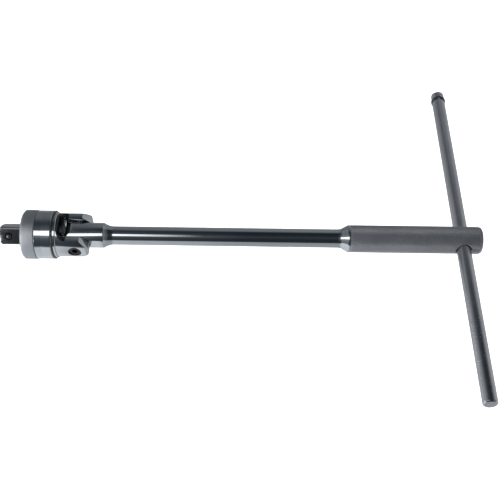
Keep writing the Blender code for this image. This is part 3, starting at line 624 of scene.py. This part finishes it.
def flare_and_taper():
    """The shaft's sides from its grip down to the collar, as (radius, along)."""
    points = flare()[::-1]
    for i in range(16):
        share = 1 - i / 16
        along = COLLAR_END + (TAPER_END - COLLAR_END) * share
        points.append((SHAFT_RADIUS + (TONGUE_RADIUS - SHAFT_RADIUS) * (1 - share) ** 2, along))
    return points


def make_shaft():
    grip_end = SHAFT_HIGH.x
    root = GRIP_RADIUS - KNURL_DEPTH
    knurl_start, knurl_end = PLAIN_END + KNURL_MARGIN, grip_end - GRIP_CHAMFER - KNURL_MARGIN
    front = PIVOT_X - TONGUE_RADIUS - 1
    rear = [(0, BAR_X), (FRICTION_HOLE_RADIUS, BAR_X), (FRICTION_HOLE_RADIUS, grip_end)]
    rear += [(GRIP_RADIUS - GRIP_CHAMFER, grip_end), (root, grip_end - GRIP_CHAMFER + KNURL_DEPTH)]
    rear += [(root, knurl_end)]
    smooth = [(root, knurl_start), (GRIP_RADIUS, PLAIN_END), *flare_and_taper()]
    smooth += [(TONGUE_RADIUS, COLLAR_END), (TONGUE_RADIUS, front), (0, front)]
    outline = rear + ease(smooth, closed=False)
    shaft = turned("knurled_shaft", outline, Z_TO_X, 2 * KNURL_COUNT, eased=False,
                   knurl=(knurl_start, knurl_end, root, GRIP_RADIUS))
    reach = GRIP_RADIUS + 2
    side = [(PIVOT_X, reach)] + arc((PIVOT_X, 0), TONGUE_RADIUS, math.pi / 2, math.pi * 3 / 2, 72)
    side += [(PIVOT_X, -reach), (grip_end + 2, -reach), (grip_end + 2, reach)]
    pivot = at(PIVOT_X) @ Z_TO_Y
    flat = TONGUE_WIDTH / 2
    rim = BAR_BORE_RADIUS + BAR_BORE_COUNTERSINK
    deep, past = GRIP_RADIUS - 2 * BAR_BORE_COUNTERSINK, GRIP_RADIUS + 1
    mouth = rim + past - GRIP_RADIUS
    bore = [(0, past), (mouth, past), (BAR_BORE_RADIUS, deep), (BAR_BORE_RADIUS, -deep), (mouth, -past),
            (0, -past)]
    carve(shaft, "INTERSECT", slab("tongue_side", side, SHAFT_SLAB, FLAT_ACROSS_Y))
    carve(shaft, "DIFFERENCE",
          rod("tongue_flat_near", TONGUE_SHOULDER_RADIUS, -PAST_TONGUE, -flat, pivot, TURN_SEGMENTS),
          rod("tongue_flat_far", TONGUE_SHOULDER_RADIUS, flat, PAST_TONGUE, pivot, TURN_SEGMENTS),
          rod("tongue_bore", PIVOT_BORE_RADIUS, -PAST_TONGUE, PAST_TONGUE, pivot),
          turned("bar_bore", bore, at(BAR_X) @ Z_TO_Y, 72, eased=False))
    soften(shaft, TONGUE_EDGE_RADIUS, lambda middle: middle.x < COLLAR_END - 1)
    wrap_up(shaft, "polished", "handle", "handle_shaft")
    second_finish(shaft, "knurl", lambda middle: middle.x > PLAIN_END)


def make_bar_friction():
    front = BAR_X + BAR_RADIUS + TOUCH_GAP
    centre = front + FRICTION_BALL_RADIUS
    plug = rod("grip_end_plug", PLUG_HIGH.y, PLUG_LOW.x, PLUG_HIGH.x, Z_TO_X, chamfer=PLUG_CHAMFER)
    middle = at(PLUG_HIGH.x - (PLUG_SOCKET_DEPTH - SOCKET_OUTSIDE) / 2) @ FLAT_ACROSS_X
    depth = PLUG_SOCKET_DEPTH + SOCKET_OUTSIDE
    carve(plug, "DIFFERENCE", slab("plug_socket", hexagon(PLUG_SOCKET_FLATS), depth, middle))
    wrap_up(plug, "oxide", "handle", "bar_friction_plug")
    friction_ball = ball("friction_ball", FRICTION_BALL_RADIUS, (centre, 0, 0))
    wrap_up(friction_ball, "bearing", "handle", "bar_friction_ball")
    start, end = centre + FRICTION_SPRING_SEAT, PLUG_LOW.x - SPRING_GAP
    spring = coil("friction_spring", *FRICTION_SPRING, start, end, Z_TO_X)
    wrap_up(spring, "spring", "handle", "bar_friction_spring")


def make_sliding_bar():
    near, far = BAR_LOW.y, BAR_HIGH.y
    stop_y = (STOP_LOW.y + STOP_HIGH.y) / 2
    chamfer = BAR_RADIUS - BAR_CHAMFER
    half = STOP_GROOVE_WIDTH / 2
    outline = [
        (0, far), (chamfer, far), (BAR_RADIUS, far - BAR_CHAMFER),
        (BAR_RADIUS, stop_y + half), (STOP_GROOVE_RADIUS, stop_y + half),
        (STOP_GROOVE_RADIUS, stop_y - half), (BAR_RADIUS, stop_y - half),
        (BAR_RADIUS, near + BAR_CHAMFER), (chamfer, near), (0, near),
    ]
    bar = turned("cross_bar", outline, at(BAR_X) @ Z_TO_Y, 96)
    wrap_up(bar, "satin_bar", "sliding_bar", "t_bar")
    outer, width = STOP_HIGH.z, STOP_HIGH.y - STOP_LOW.y
    ring_outline = open_ring(outer, STOP_RING_INNER, math.radians(30), math.radians(90))
    clip = slab("bar_stop_clip", ring_outline, width, at(BAR_X, stop_y) @ FLAT_ACROSS_Y)
    soften(clip, STOP_RING_EDGE)
    wrap_up(clip, "oxide", "sliding_bar", "bar_stop_ring")


# Head


def body_outline():
    """The ratchet body's half-section before the fork is cut: outer side, then the bores."""
    end, nose = BODY_HIGH.x, BODY_LOW.x
    edge, rounding = EAR_EDGE_RADIUS, SHOULDER_ROUND
    journal, journal_end = REAR_JOURNAL_RADIUS + JOURNAL_CLEARANCE, SPINDLE_HIGH.x + JOURNAL_END_GAP
    return [
        (0, end), *arc((FORK_RADIUS - edge, end - edge), edge, math.pi / 2, 0, 8),
        (FORK_RADIUS, FORK_FRONT),
        *arc((SHOULDER_RADIUS - rounding, FORK_FRONT - rounding), rounding, math.pi / 2, 0, 8),
        (SHOULDER_RADIUS, SHOULDER_FRONT), (BARREL_GROOVE_RADIUS, SHOULDER_FRONT),
        (BARREL_GROOVE_RADIUS, BARREL_GROOVE_FRONT), (HUB_RADIUS, BARREL_GROOVE_FRONT),
        (HUB_RADIUS, HUB_FRONT), (NOSE_RADIUS, HUB_FRONT),
        (NOSE_RADIUS, WIRE_REAR), (NOSE_WIRE_GROOVE, WIRE_REAR),
        (NOSE_WIRE_GROOVE, WIRE_FRONT), (NOSE_RADIUS, WIRE_FRONT),
        (NOSE_RADIUS, nose), (BODY_BORE_RADIUS, nose),
        (BODY_BORE_RADIUS, SNAP_GROOVE_FRONT), (SNAP_GROOVE_RADIUS, SNAP_GROOVE_FRONT),
        (SNAP_GROOVE_RADIUS, SNAP_GROOVE_REAR), (BODY_BORE_RADIUS, SNAP_GROOVE_REAR),
        (BODY_BORE_RADIUS, BODY_BORE_END), (journal, BODY_BORE_END), (journal, journal_end),
        (0, journal_end),
    ]


def ear_side():
    """The body seen from its side: flat-topped ears with cut corners, hollowed into the round part."""
    cut_off, root, reach = EAR_CORNER_CUT, EAR_ROOT_RADIUS, SHOULDER_RADIUS + 1
    upper = [(BODY_HIGH.x, EAR_TOP - cut_off), (BODY_HIGH.x - cut_off, EAR_TOP)]
    upper += arc((FORK_FRONT + root, EAR_TOP + root), root, math.pi * 3 / 2, math.pi, 32)
    upper += [(FORK_FRONT, reach), (BODY_LOW.x - 2, reach)]
    return upper + [(x, -z) for x, z in reversed(upper)]


def slot_section():
    """The fork's slot seen from above, round at its root and past the ears' end."""
    side, root = SLOT_WIDTH / 2, SLOT_ROOT_RADIUS
    upper = [(BODY_HIGH.x + 2, side)]
    upper += arc((SLOT_FLOOR + root, side - root), root, math.pi / 2, math.pi, 14)
    return upper + [(x, -y) for x, y in reversed(upper)]


def make_body():
    body = turned("fork_body", body_outline(), Z_TO_X, eased=False)
    carve(body, "INTERSECT", slab("ear_side", ear_side(), BODY_SLAB, FLAT_ACROSS_Y))
    pivot = at(PIVOT_X) @ Z_TO_Y
    low_hole = at(0, 0, -INDEX_PATH_RADIUS) @ Z_TO_X
    front, top = HUB_FRONT - OUTSIDE, HUB_RADIUS + 2
    carve(body, "DIFFERENCE",
          slab("fork_slot", slot_section(), BODY_SLAB, Matrix()),
          rod("pivot_bore", PIVOT_BORE_RADIUS, -PAST_BODY, PAST_BODY, pivot),
          rod("pivot_counterbore", COUNTERBORE_RADIUS, -PAST_BODY, -COUNTERBORE_FLOOR, pivot, 64),
          block("pawl_pocket", (POCKET_FRONT, -POCKET_HALF_WIDTH, POCKET_FLOOR),
                (POCKET_REAR, POCKET_HALF_WIDTH, top)),
          block("finger_notch", (front, -NOTCH_HALF_WIDTH, NOTCH_FLOOR),
                (POCKET_FRONT + OUTSIDE, NOTCH_HALF_WIDTH, top)),
          rod("pawl_pin_hole", PIN_HIGH.y + JOURNAL_CLEARANCE, front, PIN_HIGH.x + PIN_END_GAP,
              at(0, 0, PAWL_PIVOT_Z) @ Z_TO_X, 24),
          rod("index_hole", INDEX_HOLE_RADIUS, front, INDEX_HOLE_FLOOR, low_hole, 24),
          rod("hinge_hole", HINGE_HOLE_RADIUS, HINGE_HOLE_FLOOR, SLOT_FLOOR + 0.5, Z_TO_X, 40))
    soften(body, EAR_SOFTENING, lambda middle: middle.x > SLOT_FLOOR - 0.5 and middle.yz.length > 3)
    wrap_up(body, "polished", "head", "ratchet_body")
    # The slot's floor and the ears' hollow roots get the near-black finish: painted shade.
    second_finish(body, "recess", in_fork_recess)


def in_fork_recess(middle):
    """Whether a place is on the slot's floor or the ears' hollow roots, which get a near-black painted
    shade.
    """
    behind_front = FORK_FRONT + 0.05 < middle.x < FORK_FRONT + EAR_ROOT_RADIUS
    return behind_front and middle.yz.length < FORK_RADIUS - 0.1


def make_pivot_screw():
    end, face, head = SCREW_HIGH.y, SCREW_LOW.y, SCREW_HIGH.x - PIVOT_X
    outline = [
        (0, end), (PIVOT_RADIUS - SCREW_END_CHAMFER, end), (PIVOT_RADIUS, end - SCREW_END_CHAMFER),
        (PIVOT_RADIUS, -SCREW_HEAD_SEAT), (head, -SCREW_HEAD_SEAT), (head, face + SCREW_HEAD_CHAMFER),
        (head - SCREW_HEAD_CHAMFER, face), (0, face),
    ]
    screw = turned("pivot_cap_screw", outline, at(PIVOT_X) @ Z_TO_Y, 64)
    middle = at(PIVOT_X, face + (SCREW_SOCKET_DEPTH - SOCKET_OUTSIDE) / 2) @ FLAT_ACROSS_Y
    depth = SCREW_SOCKET_DEPTH + SOCKET_OUTSIDE
    carve(screw, "DIFFERENCE", slab("screw_socket", hexagon(SCREW_SOCKET_FLATS), depth, middle))
    wrap_up(screw, "oxide_screw", "head", "pivot_screw")


def make_barrel():
    front, rear, radius = BARREL_LOW.x, BARREL_HIGH.x, BARREL_HIGH.y
    edge, inset = BARREL_REAR_ROUND, BARREL_REAR_INSET
    outline = [(radius - edge, rear), (radius - inset, rear - inset), (radius, rear - edge)]
    for line in reversed(range(LINE_COUNT)):
        middle = front + LINE_FIRST + line * LINE_PITCH
        outline += [(radius, middle + LINE_HALF_WIDTH), (radius - LINE_DEPTH, middle),
                    (radius, middle - LINE_HALF_WIDTH)]
    outline += [(radius, front + BARREL_FRONT_EDGE), (radius - BARREL_FRONT_EDGE, front),
                (BARREL_BORE_RADIUS, front), (BARREL_BORE_RADIUS, rear)]
    barrel = turned("turned_barrel", outline, Z_TO_X)
    wrap_up(barrel, "barrel", "head", "ratchet_barrel")
    middle, width = (CLIP_LOW.x + CLIP_HIGH.x) / 2, CLIP_HIGH.x - CLIP_LOW.x
    ring_outline = open_ring(CLIP_HIGH.y, CLIP_INNER, math.radians(12), math.radians(-60), 150)
    clip = slab("split_retaining_ring", ring_outline, width, at(middle) @ FLAT_ACROSS_X)
    soften(clip, CLIP_EDGE)
    wrap_up(clip, "oxide", "head", "barrel_retaining_ring")


def make_bearing():
    bore = JOURNAL_RADIUS + JOURNAL_CLEARANCE
    radius, front, rear = BUSH_HIGH.y, BUSH_LOW.x, BUSH_HIGH.x
    edge = BUSH_CHAMFER
    outline = [(radius - edge, rear), (radius, rear - edge), (radius, front + edge), (radius - edge, front),
               (bore, front), (bore, rear)]
    wrap_up(turned("bronze_bush", outline, Z_TO_X, 96), "bronze", "head", "spindle_bush")
    middle, width = (SNAP_LOW.x + SNAP_HIGH.x) / 2, SNAP_HIGH.x - SNAP_LOW.x
    ring_outline = open_ring(-SNAP_LOW.z, SNAP_INNER, math.radians(40), 0)
    snap = slab("snap_ring", ring_outline, width, at(middle) @ FLAT_ACROSS_X)
    soften(snap, SNAP_EDGE)
    wrap_up(snap, "spring", "head", "spindle_snap_ring")


def make_hinge_stiffener():
    centre = PIVOT_X - TONGUE_RADIUS - TOUCH_GAP - HINGE_BALL_RADIUS
    hinge_ball = ball("tongue_ball", HINGE_BALL_RADIUS, (centre, 0, 0))
    wrap_up(hinge_ball, "bearing", "head", "hinge_ball")
    start, end = HINGE_HOLE_FLOOR + SPRING_GAP, centre - HINGE_SPRING_SEAT
    spring = coil("tongue_spring", *HINGE_SPRING, start, end, Z_TO_X)
    wrap_up(spring, "spring", "head", "hinge_spring")


def make_index_detent():
    low = -INDEX_PATH_RADIUS
    index_ball = ball("click_ball", INDEX_BALL_RADIUS, (INDEX_BALL_X, 0, low))
    wrap_up(index_ball, "bearing", "head", "index_ball")
    start, end = INDEX_BALL_X + INDEX_SPRING_SEAT, INDEX_HOLE_FLOOR - SPRING_GAP
    spring = coil("click_spring", *INDEX_SPRING, start, end, at(0, 0, low) @ Z_TO_X)
    wrap_up(spring, "spring", "head", "index_spring")


def make_ring_wire():
    gap = math.radians(20)
    points = [(x, y, 0) for x, y in arc((0, 0), WIRE_PATH_RADIUS, gap, 2 * math.pi - gap, 120)]
    wire = tube("collar_wire", points, WIRE_RADIUS, at(WIRE_X) @ FLAT_ACROSS_X)
    wrap_up(wire, "spring", "head", "ring_retaining_wire")


def make_pawl_pin():
    pin = rod("pawl_pivot_pin", PIN_HIGH.y, PIN_LOW.x, PIN_HIGH.x, at(0, 0, PAWL_PIVOT_Z) @ Z_TO_X, 32,
              PIN_CHAMFER)
    wrap_up(pin, "spring", "head", "pawl_pin")


# Reversing ring


def make_reversing_ring():
    front, rear, radius = RING_LOW.x, RING_HIGH.x, RING_HIGH.y
    wall_end, edge = front + RING_WALL, RING_REAR_CHAMFER
    outline = [
        (radius - edge, rear), (radius, rear - edge), (radius, front + RING_CHAMFER),
        (radius - RING_CHAMFER, front), (RING_MOUTH_RADIUS, front),
        (RING_MOUTH_RADIUS, wall_end), (RING_BORE_RADIUS, wall_end),
        (RING_BORE_RADIUS, WIRE_FRONT), (RING_WIRE_GROOVE, WIRE_FRONT),
        (RING_WIRE_GROOVE, WIRE_REAR), (RING_BORE_RADIUS, WIRE_REAR), (RING_BORE_RADIUS, rear),
    ]
    ring = turned("reversing_collar", outline, Z_TO_X)
    y, z = polar(FINGER_PATH_RADIUS, FINGER_TURN)
    finger_frame = at(0, y, z) @ Z_TO_X
    finger_radius = (FINGER_HIGH.y - FINGER_LOW.y) / 2
    last = math.radians(-90) + INDEX_TRACK_MARGIN
    first = math.radians(-90) - INDEX_TRACK_MARGIN - 2 * FINGER_TURN
    track = arc((0, 0), INDEX_TRACK_OUTER, first, last, 20)
    track += arc((0, 0), RING_BORE_RADIUS - 0.3, last, first, 20)
    tools = [rod("finger_hole", finger_radius + JOURNAL_CLEARANCE, FINGER_LOW.x - FINGER_END_GAP,
                 rear + 0.5, finger_frame, 24),
             slab("index_track", track, INDEX_TRACK_DEPTH * 2, at(rear) @ FLAT_ACROSS_X)]
    for number in range(2):
        y, z = polar(INDEX_PATH_RADIUS, math.pi + number * 2 * FINGER_TURN)
        centre = (rear - INDEX_TRACK_DEPTH, y, z)
        tools.append(ball(f"index_dimple_{number}", INDEX_DIMPLE_RADIUS, centre, 24))
    carve(ring, "DIFFERENCE", *tools)
    wrap_up(ring, "satin_ring", "selector", "reversing_ring")
    finger = rod("shift_finger", finger_radius, FINGER_LOW.x, FINGER_HIGH.x, finger_frame, 32, PIN_CHAMFER)
    wrap_up(finger, "spring", "selector", "selector_finger")


# Pawl


def pawl_outline():
    """The pawl's (y, z) outline about its pivot when it is level, with a tooth at each end."""
    half = [(0, PAWL_BACK_Z), (PAWL_HALF_LENGTH, PAWL_BACK_Z), PAWL_SHOULDER, PAWL_CHEEK]
    half.append(polar(PAWL_TOOTH_RADIUS, PAWL_TOOTH_ANGLE))
    for i in range(13):
        half.append(polar(PAWL_ARC_RADIUS, PAWL_ARC_HALF_ANGLE * (1 - i / 12)))
    half = [(y, z - PAWL_PIVOT_Z) for y, z in half]
    return half + [(-y, z) for y, z in reversed(half[1:-1])]


def make_pawl():
    front, rear = PAWL_LOW.x, PAWL_HIGH.x
    tilt = at(0, 0, PAWL_PIVOT_Z) @ Matrix.Rotation(-PAWL_ROCK, 4, "X")
    middle = at((front + rear) / 2)
    pawl = slab("rocking_pawl", pawl_outline(), rear - front, middle @ tilt @ FLAT_ACROSS_X)
    soften(pawl, PAWL_EDGE, segments=2)
    carve(pawl, "DIFFERENCE", rod("pawl_bore", PAWL_BORE_RADIUS, front - 1, rear + 1,
                                  at(0, 0, PAWL_PIVOT_Z) @ Z_TO_X, 32))
    wrap_up(pawl, "oxide", "pawl", "ratchet_pawl")
    low = PAWL_BACK_Z - PAWL_PIVOT_Z + LEAF_GAP
    high, reach = low + LEAF_THICKNESS, LEAF_HALF_LENGTH
    leaf_outline = [(-reach, low), (reach, low), (reach, high), (-reach, high)]
    leaf = slab("pawl_leaf", leaf_outline, rear - front - LEAF_NARROWER, middle @ tilt @ FLAT_ACROSS_X)
    soften(leaf, LEAF_EDGE, segments=2)
    wrap_up(leaf, "spring", "pawl", "pawl_leaf_spring")


# Drive


def wheel_outline():
    """The ratchet wheel's teeth, alike both ways, with a valley at +Z."""
    pitch = 2 * math.pi / WHEEL_TEETH
    root, tip, land = WHEEL_ROOT_RADIUS, WHEEL_TIP_RADIUS, WHEEL_LAND
    points = []
    for tooth in range(WHEEL_TEETH):
        middle = (tooth + 0.5) * pitch
        points += [polar(root, middle - pitch / 2 + land), polar(tip, middle - land)]
        points += [polar(tip, middle + land), polar(root, middle + pitch / 2 - land)]
    return points


def ball_frame():
    """The detent ball's frame: Z points out of the drive's face."""
    return at(BALL_CENTRE.x) @ Matrix.Rotation(DRIVE_TURN, 4, "X")


def make_drive():
    corner = (DRIVE_SIDE / 2 - DRIVE_EDGE_RADIUS) * math.sqrt(2) + DRIVE_EDGE_RADIUS
    section = rounded_square(DRIVE_SIDE, DRIVE_EDGE_RADIUS, DRIVE_TURN)
    length = DRIVE_LENGTH + 1
    square = slab("drive_square", section, length, at(length / 2) @ FLAT_ACROSS_X)
    reach, nose = corner + 0.5, corner - DRIVE_END_CHAMFER
    envelope = [(0, length + 1), (reach, length + 1), (reach, DRIVE_END_CHAMFER + 0.5), (nose, -0.1),
                (0, -0.1)]
    carve(square, "INTERSECT", turned("drive_chamfer", envelope, Z_TO_X, 96, eased=False))
    soften(square, DRIVE_END_EDGE, lambda middle: middle.x < DRIVE_END_CHAMFER + 1)
    end, edge, step = SPINDLE_HIGH.x, REAR_JOURNAL_CHAMFER, JOURNAL_CHAMFER / 2
    journal = [
        (0, end), (REAR_JOURNAL_RADIUS - edge, end), (REAR_JOURNAL_RADIUS, end - edge),
        (REAR_JOURNAL_RADIUS, WHEEL_REAR - 1), (JOURNAL_RADIUS, WHEEL_REAR - 1),
        (JOURNAL_RADIUS, DRIVE_LENGTH + step), (JOURNAL_RADIUS - JOURNAL_CHAMFER, DRIVE_LENGTH - step),
        (0, DRIVE_LENGTH - step),
    ]
    spindle = turned("square_drive_spindle", journal, Z_TO_X, 96)
    wheel = slab("ratchet_wheel", wheel_outline(), WHEEL_REAR - WHEEL_FRONT,
                 at((WHEEL_FRONT + WHEEL_REAR) / 2) @ FLAT_ACROSS_X)
    soften(wheel, WHEEL_EDGE, segments=1)
    carve(spindle, "UNION", wheel, square)
    floor = DRIVE_BALL_HOLE_FLOOR
    hole = rod("drive_ball_hole", DRIVE_BALL_HOLE_RADIUS, floor, DRIVE_SIDE, ball_frame(), 64)
    carve(spindle, "DIFFERENCE", hole)
    wrap_up(spindle, "drive", "drive", "drive_spindle")
    detent = ball("drive_ball", BALL_RADIUS, BALL_CENTRE, 48)
    wrap_up(detent, "drive_ball", "drive_ball", "drive_detent_ball")
    spring = coil("drive_spring", *DRIVE_SPRING, floor + SPRING_GAP, DRIVE_SPRING_END, ball_frame())
    wrap_up(spring, "spring", "drive", "drive_detent_spring")


# Studio

CAMERA_LENS, SENSOR_WIDTH, CLIP_START = 60.5, 36, 0.01
CAMERA_ELEVATION, CAMERA_ROLL = math.radians(53.6), math.radians(0.79)
CAMERA_TARGET, CAMERA_DISTANCE, CAMERA_DROP = Vector((133.3, 0, 0)) * MM, 0.4516, 0.0068
# The floor lies just under the reach of the head when it is folded down.
FLOOR_Z = SPINDLE_LOW.x - PIVOT_X - 4
FLOOR_RADIUS, FLOOR_SWEEP, WALL_HEIGHT = 3000, 900, 3000
FLOOR_DARK, FLOOR_LIGHT, FLOOR_GLOW = (0.78, 0.78, 0.78), (0.82, 0.82, 0.82), 0.92
STRIP_TARGET, STRIP_ELEVATION, STRIP_DISTANCE = Vector((-300, 0, 0)) * MM, math.radians(59), 0.6
STRIP_SIZE, STRIP_POWER, STRIP_FADE = (0.75, 0.235), 1.15, 0.13
FILL_WAY, FILL_DISTANCE, FILL_SIZE, FILL_POWER = Vector((-0.74, -0.65, 0.18)), 0.24, (0.1, 0.09), 0.42
# The room as bands of light, in degrees from the far horizon over the top and on round below,
# on the head's side and on the grip's side.
ROOM_LEFT = (
    (-180, 0.08), (-172, 0.16), (-168, 1.0), (-95, 1.0), (-54, 0.5), (-34, 0.42), (-20, 0.36),
    (-6, 0.22), (32, 0.2), (45, 0.17), (57, 0.12), (68, 0.07), (79, 0.07), (99, 0.15),
    (112, 0.22), (130, 0.42), (137, 0.36), (147, 0.17), (157, 0.11), (180, 0.08),
)
ROOM_RIGHT = (
    (-180, 0.05), (-173, 0.09), (-168, 0.5), (-95, 0.6), (-54, 0.45), (-34, 0.36), (-14, 0.32),
    (30, 0.31), (44, 0.28), (51, 0.21), (57, 0.12), (63, 0.045), (72, 0.03), (100, 0.035),
    (115, 0.06), (130, 0.07), (145, 0.04), (172, 0.04), (180, 0.05),
)
ROOM_CENTRE, ROOM_BLEND = -0.11, 0.11
SIDE_LIGHT, SIDE_START, SIDE_END = 0.32, 0.4, 0.95
# How blue a band is: a least share, and more as its light falls towards zero.
COOL_LEAST, COOL_GAIN, COOL_SOFTENING = 0.02, 0.014, 0.03


def add_camera():
    sideways = Vector((1, 0, 0))
    forward = Vector((0, math.cos(CAMERA_ELEVATION), -math.sin(CAMERA_ELEVATION)))
    upward = sideways.cross(forward)
    cos, sin = math.cos(CAMERA_ROLL), math.sin(CAMERA_ROLL)
    right = sideways * cos + upward * sin
    up = upward * cos - sideways * sin
    place = CAMERA_TARGET - forward * CAMERA_DISTANCE - up * CAMERA_DROP
    data = bpy.data.cameras.new("camera")
    data.lens, data.sensor_width, data.clip_start = CAMERA_LENS, SENSOR_WIDTH, CLIP_START
    camera = bpy.data.objects.new("camera", data)
    camera.matrix_world = Matrix.Translation(place) @ Matrix((right, up, -forward)).transposed().to_4x4()
    bpy.context.scene.collection.objects.link(camera)
    bpy.context.scene.camera = camera


def floor_material():
    """A pale board, lit from behind like a light table."""
    material, tree, inputs = principled("pale_floor")
    grain = noise(tree, node(tree, "ShaderNodeTexCoord").outputs["Object"], (160, 160, 160), 4)
    feed(tree, inputs["Base Color"], mix_colour(tree, grain, FLOOR_DARK, FLOOR_LIGHT))
    inputs["Roughness"].default_value = 0.6
    inputs["Emission Color"].default_value = (1, 1, 1, 1)
    inputs["Emission Strength"].default_value = FLOOR_GLOW
    return material


def add_floor():
    """The floor, swept up into a wall all round. The tool's metal mirrors the room instead of it."""
    sweep = arc((FLOOR_RADIUS, FLOOR_Z + FLOOR_SWEEP), FLOOR_SWEEP, -math.pi / 2, 0, 16)
    outline = [(1, FLOOR_Z), *sweep, (FLOOR_RADIUS + FLOOR_SWEEP, WALL_HEIGHT)]
    shape = bmesh.new()
    rings = [circle(shape, radius, along, TURN_SEGMENTS) for radius, along in outline]
    shape.faces.new(rings[0])
    for first, second in zip(rings, rings[1:]):
        bridge(shape, first, second)
    floor = new_object("floor", shape, at((BODY_LOW.x + SHAFT_HIGH.x) / 2))
    floor.data.shade_smooth()
    floor.data.materials.append(floor_material())
    floor.visible_glossy = False
    floor.visible_shadow = False


def add_soft_box(name, target, way, distance, size, power):
    """A rectangular lamp at a distance from the target, facing it. Its own X is level."""
    way = way.normalized()
    along = Vector((0, 0, 1)).cross(way).normalized()
    aim = Matrix((along, way.cross(along), way)).transposed().to_4x4()
    data = bpy.data.lights.new(name, "AREA")
    data.shape = "RECTANGLE"
    data.size, data.size_y = size
    data.energy = power
    lamp = bpy.data.objects.new(name, data)
    lamp.matrix_world = Matrix.Translation(target + way * distance) @ aim
    lamp.visible_camera = False
    bpy.context.scene.collection.objects.link(lamp)
    return data


def add_lamps():
    """A long box above the camera's side, dimming towards the grip, and a low one past the head's end."""
    way = Vector((0, -math.cos(STRIP_ELEVATION), math.sin(STRIP_ELEVATION)))
    strip = add_soft_box("strip_soft_box", STRIP_TARGET, way, STRIP_DISTANCE, STRIP_SIZE, STRIP_POWER)
    strip.use_nodes = True
    tree = strip.node_tree
    place = node(tree, "ShaderNodeNewGeometry").outputs["Parametric"]
    across = node(tree, "ShaderNodeSeparateXYZ", {"Vector": place}).outputs["X"]
    fade = remap(tree, across, 1.0, 0.0, 1 - STRIP_FADE, 1.0)
    tree.links.new(fade, tree.nodes["Emission"].inputs["Strength"])
    ring = (RING_LOW + RING_HIGH) / 2 * MM
    add_soft_box("fill_soft_box", ring, FILL_WAY, FILL_DISTANCE, FILL_SIZE, FILL_POWER)


def room_bands(tree, angle, bands):
    """Colours of the room round the tool's length. Its dark parts are bluer."""
    made = node(tree, "ShaderNodeValToRGB", {"Fac": angle})
    elements = made.color_ramp.elements
    while len(elements) < len(bands):
        elements.new(0.5)
    for element, (degrees, light) in zip(elements, bands):
        cool = COOL_LEAST + COOL_GAIN / (light + COOL_SOFTENING)
        element.position = (degrees + 180) / 360
        element.color = (light * (1 - cool), light, light * (1 + cool), 1)
    return made.outputs["Color"]


def add_world():
    """A dim room over a light table, with more light from both ends."""
    world = bpy.data.worlds.new("studio")
    bpy.context.scene.world = world
    world.use_nodes = True
    tree = world.node_tree
    direction = node(tree, "ShaderNodeTexCoord").outputs["Generated"]
    way = node(tree, "ShaderNodeSeparateXYZ", {"Vector": direction}).outputs
    turn = node(tree, "ShaderNodeMath", {0: way["Z"], 1: way["Y"]}, operation="ARCTAN2")
    angle = remap(tree, turn.outputs[0], 0.0, 1.0, -math.pi, math.pi)
    share = remap(tree, way["X"], 0.0, 1.0, ROOM_CENTRE - ROOM_BLEND, ROOM_CENTRE + ROOM_BLEND)
    room = mix_colour(tree, share, room_bands(tree, angle, ROOM_LEFT), room_bands(tree, angle, ROOM_RIGHT))
    ends = node(tree, "ShaderNodeMath", {0: way["X"]}, operation="ABSOLUTE")
    lift = remap(tree, ends.outputs[0], 0.0, SIDE_LIGHT, SIDE_START, SIDE_END)
    both = node(tree, "ShaderNodeVectorMath", {0: room, 1: lift}, operation="ADD")
    tree.links.new(both.outputs[0], tree.nodes["Background"].inputs["Color"])


def build():
    add_camera()
    add_world()
    add_floor()
    add_lamps()
    make_shaft()
    make_bar_friction()
    make_sliding_bar()
    make_body()
    make_pivot_screw()
    make_barrel()
    make_bearing()
    make_hinge_stiffener()
    make_index_detent()
    make_ring_wire()
    make_pawl_pin()
    make_reversing_ring()
    make_pawl()
    make_drive()
    bpy.context.scene.view_settings.view_transform = "Standard"


build()
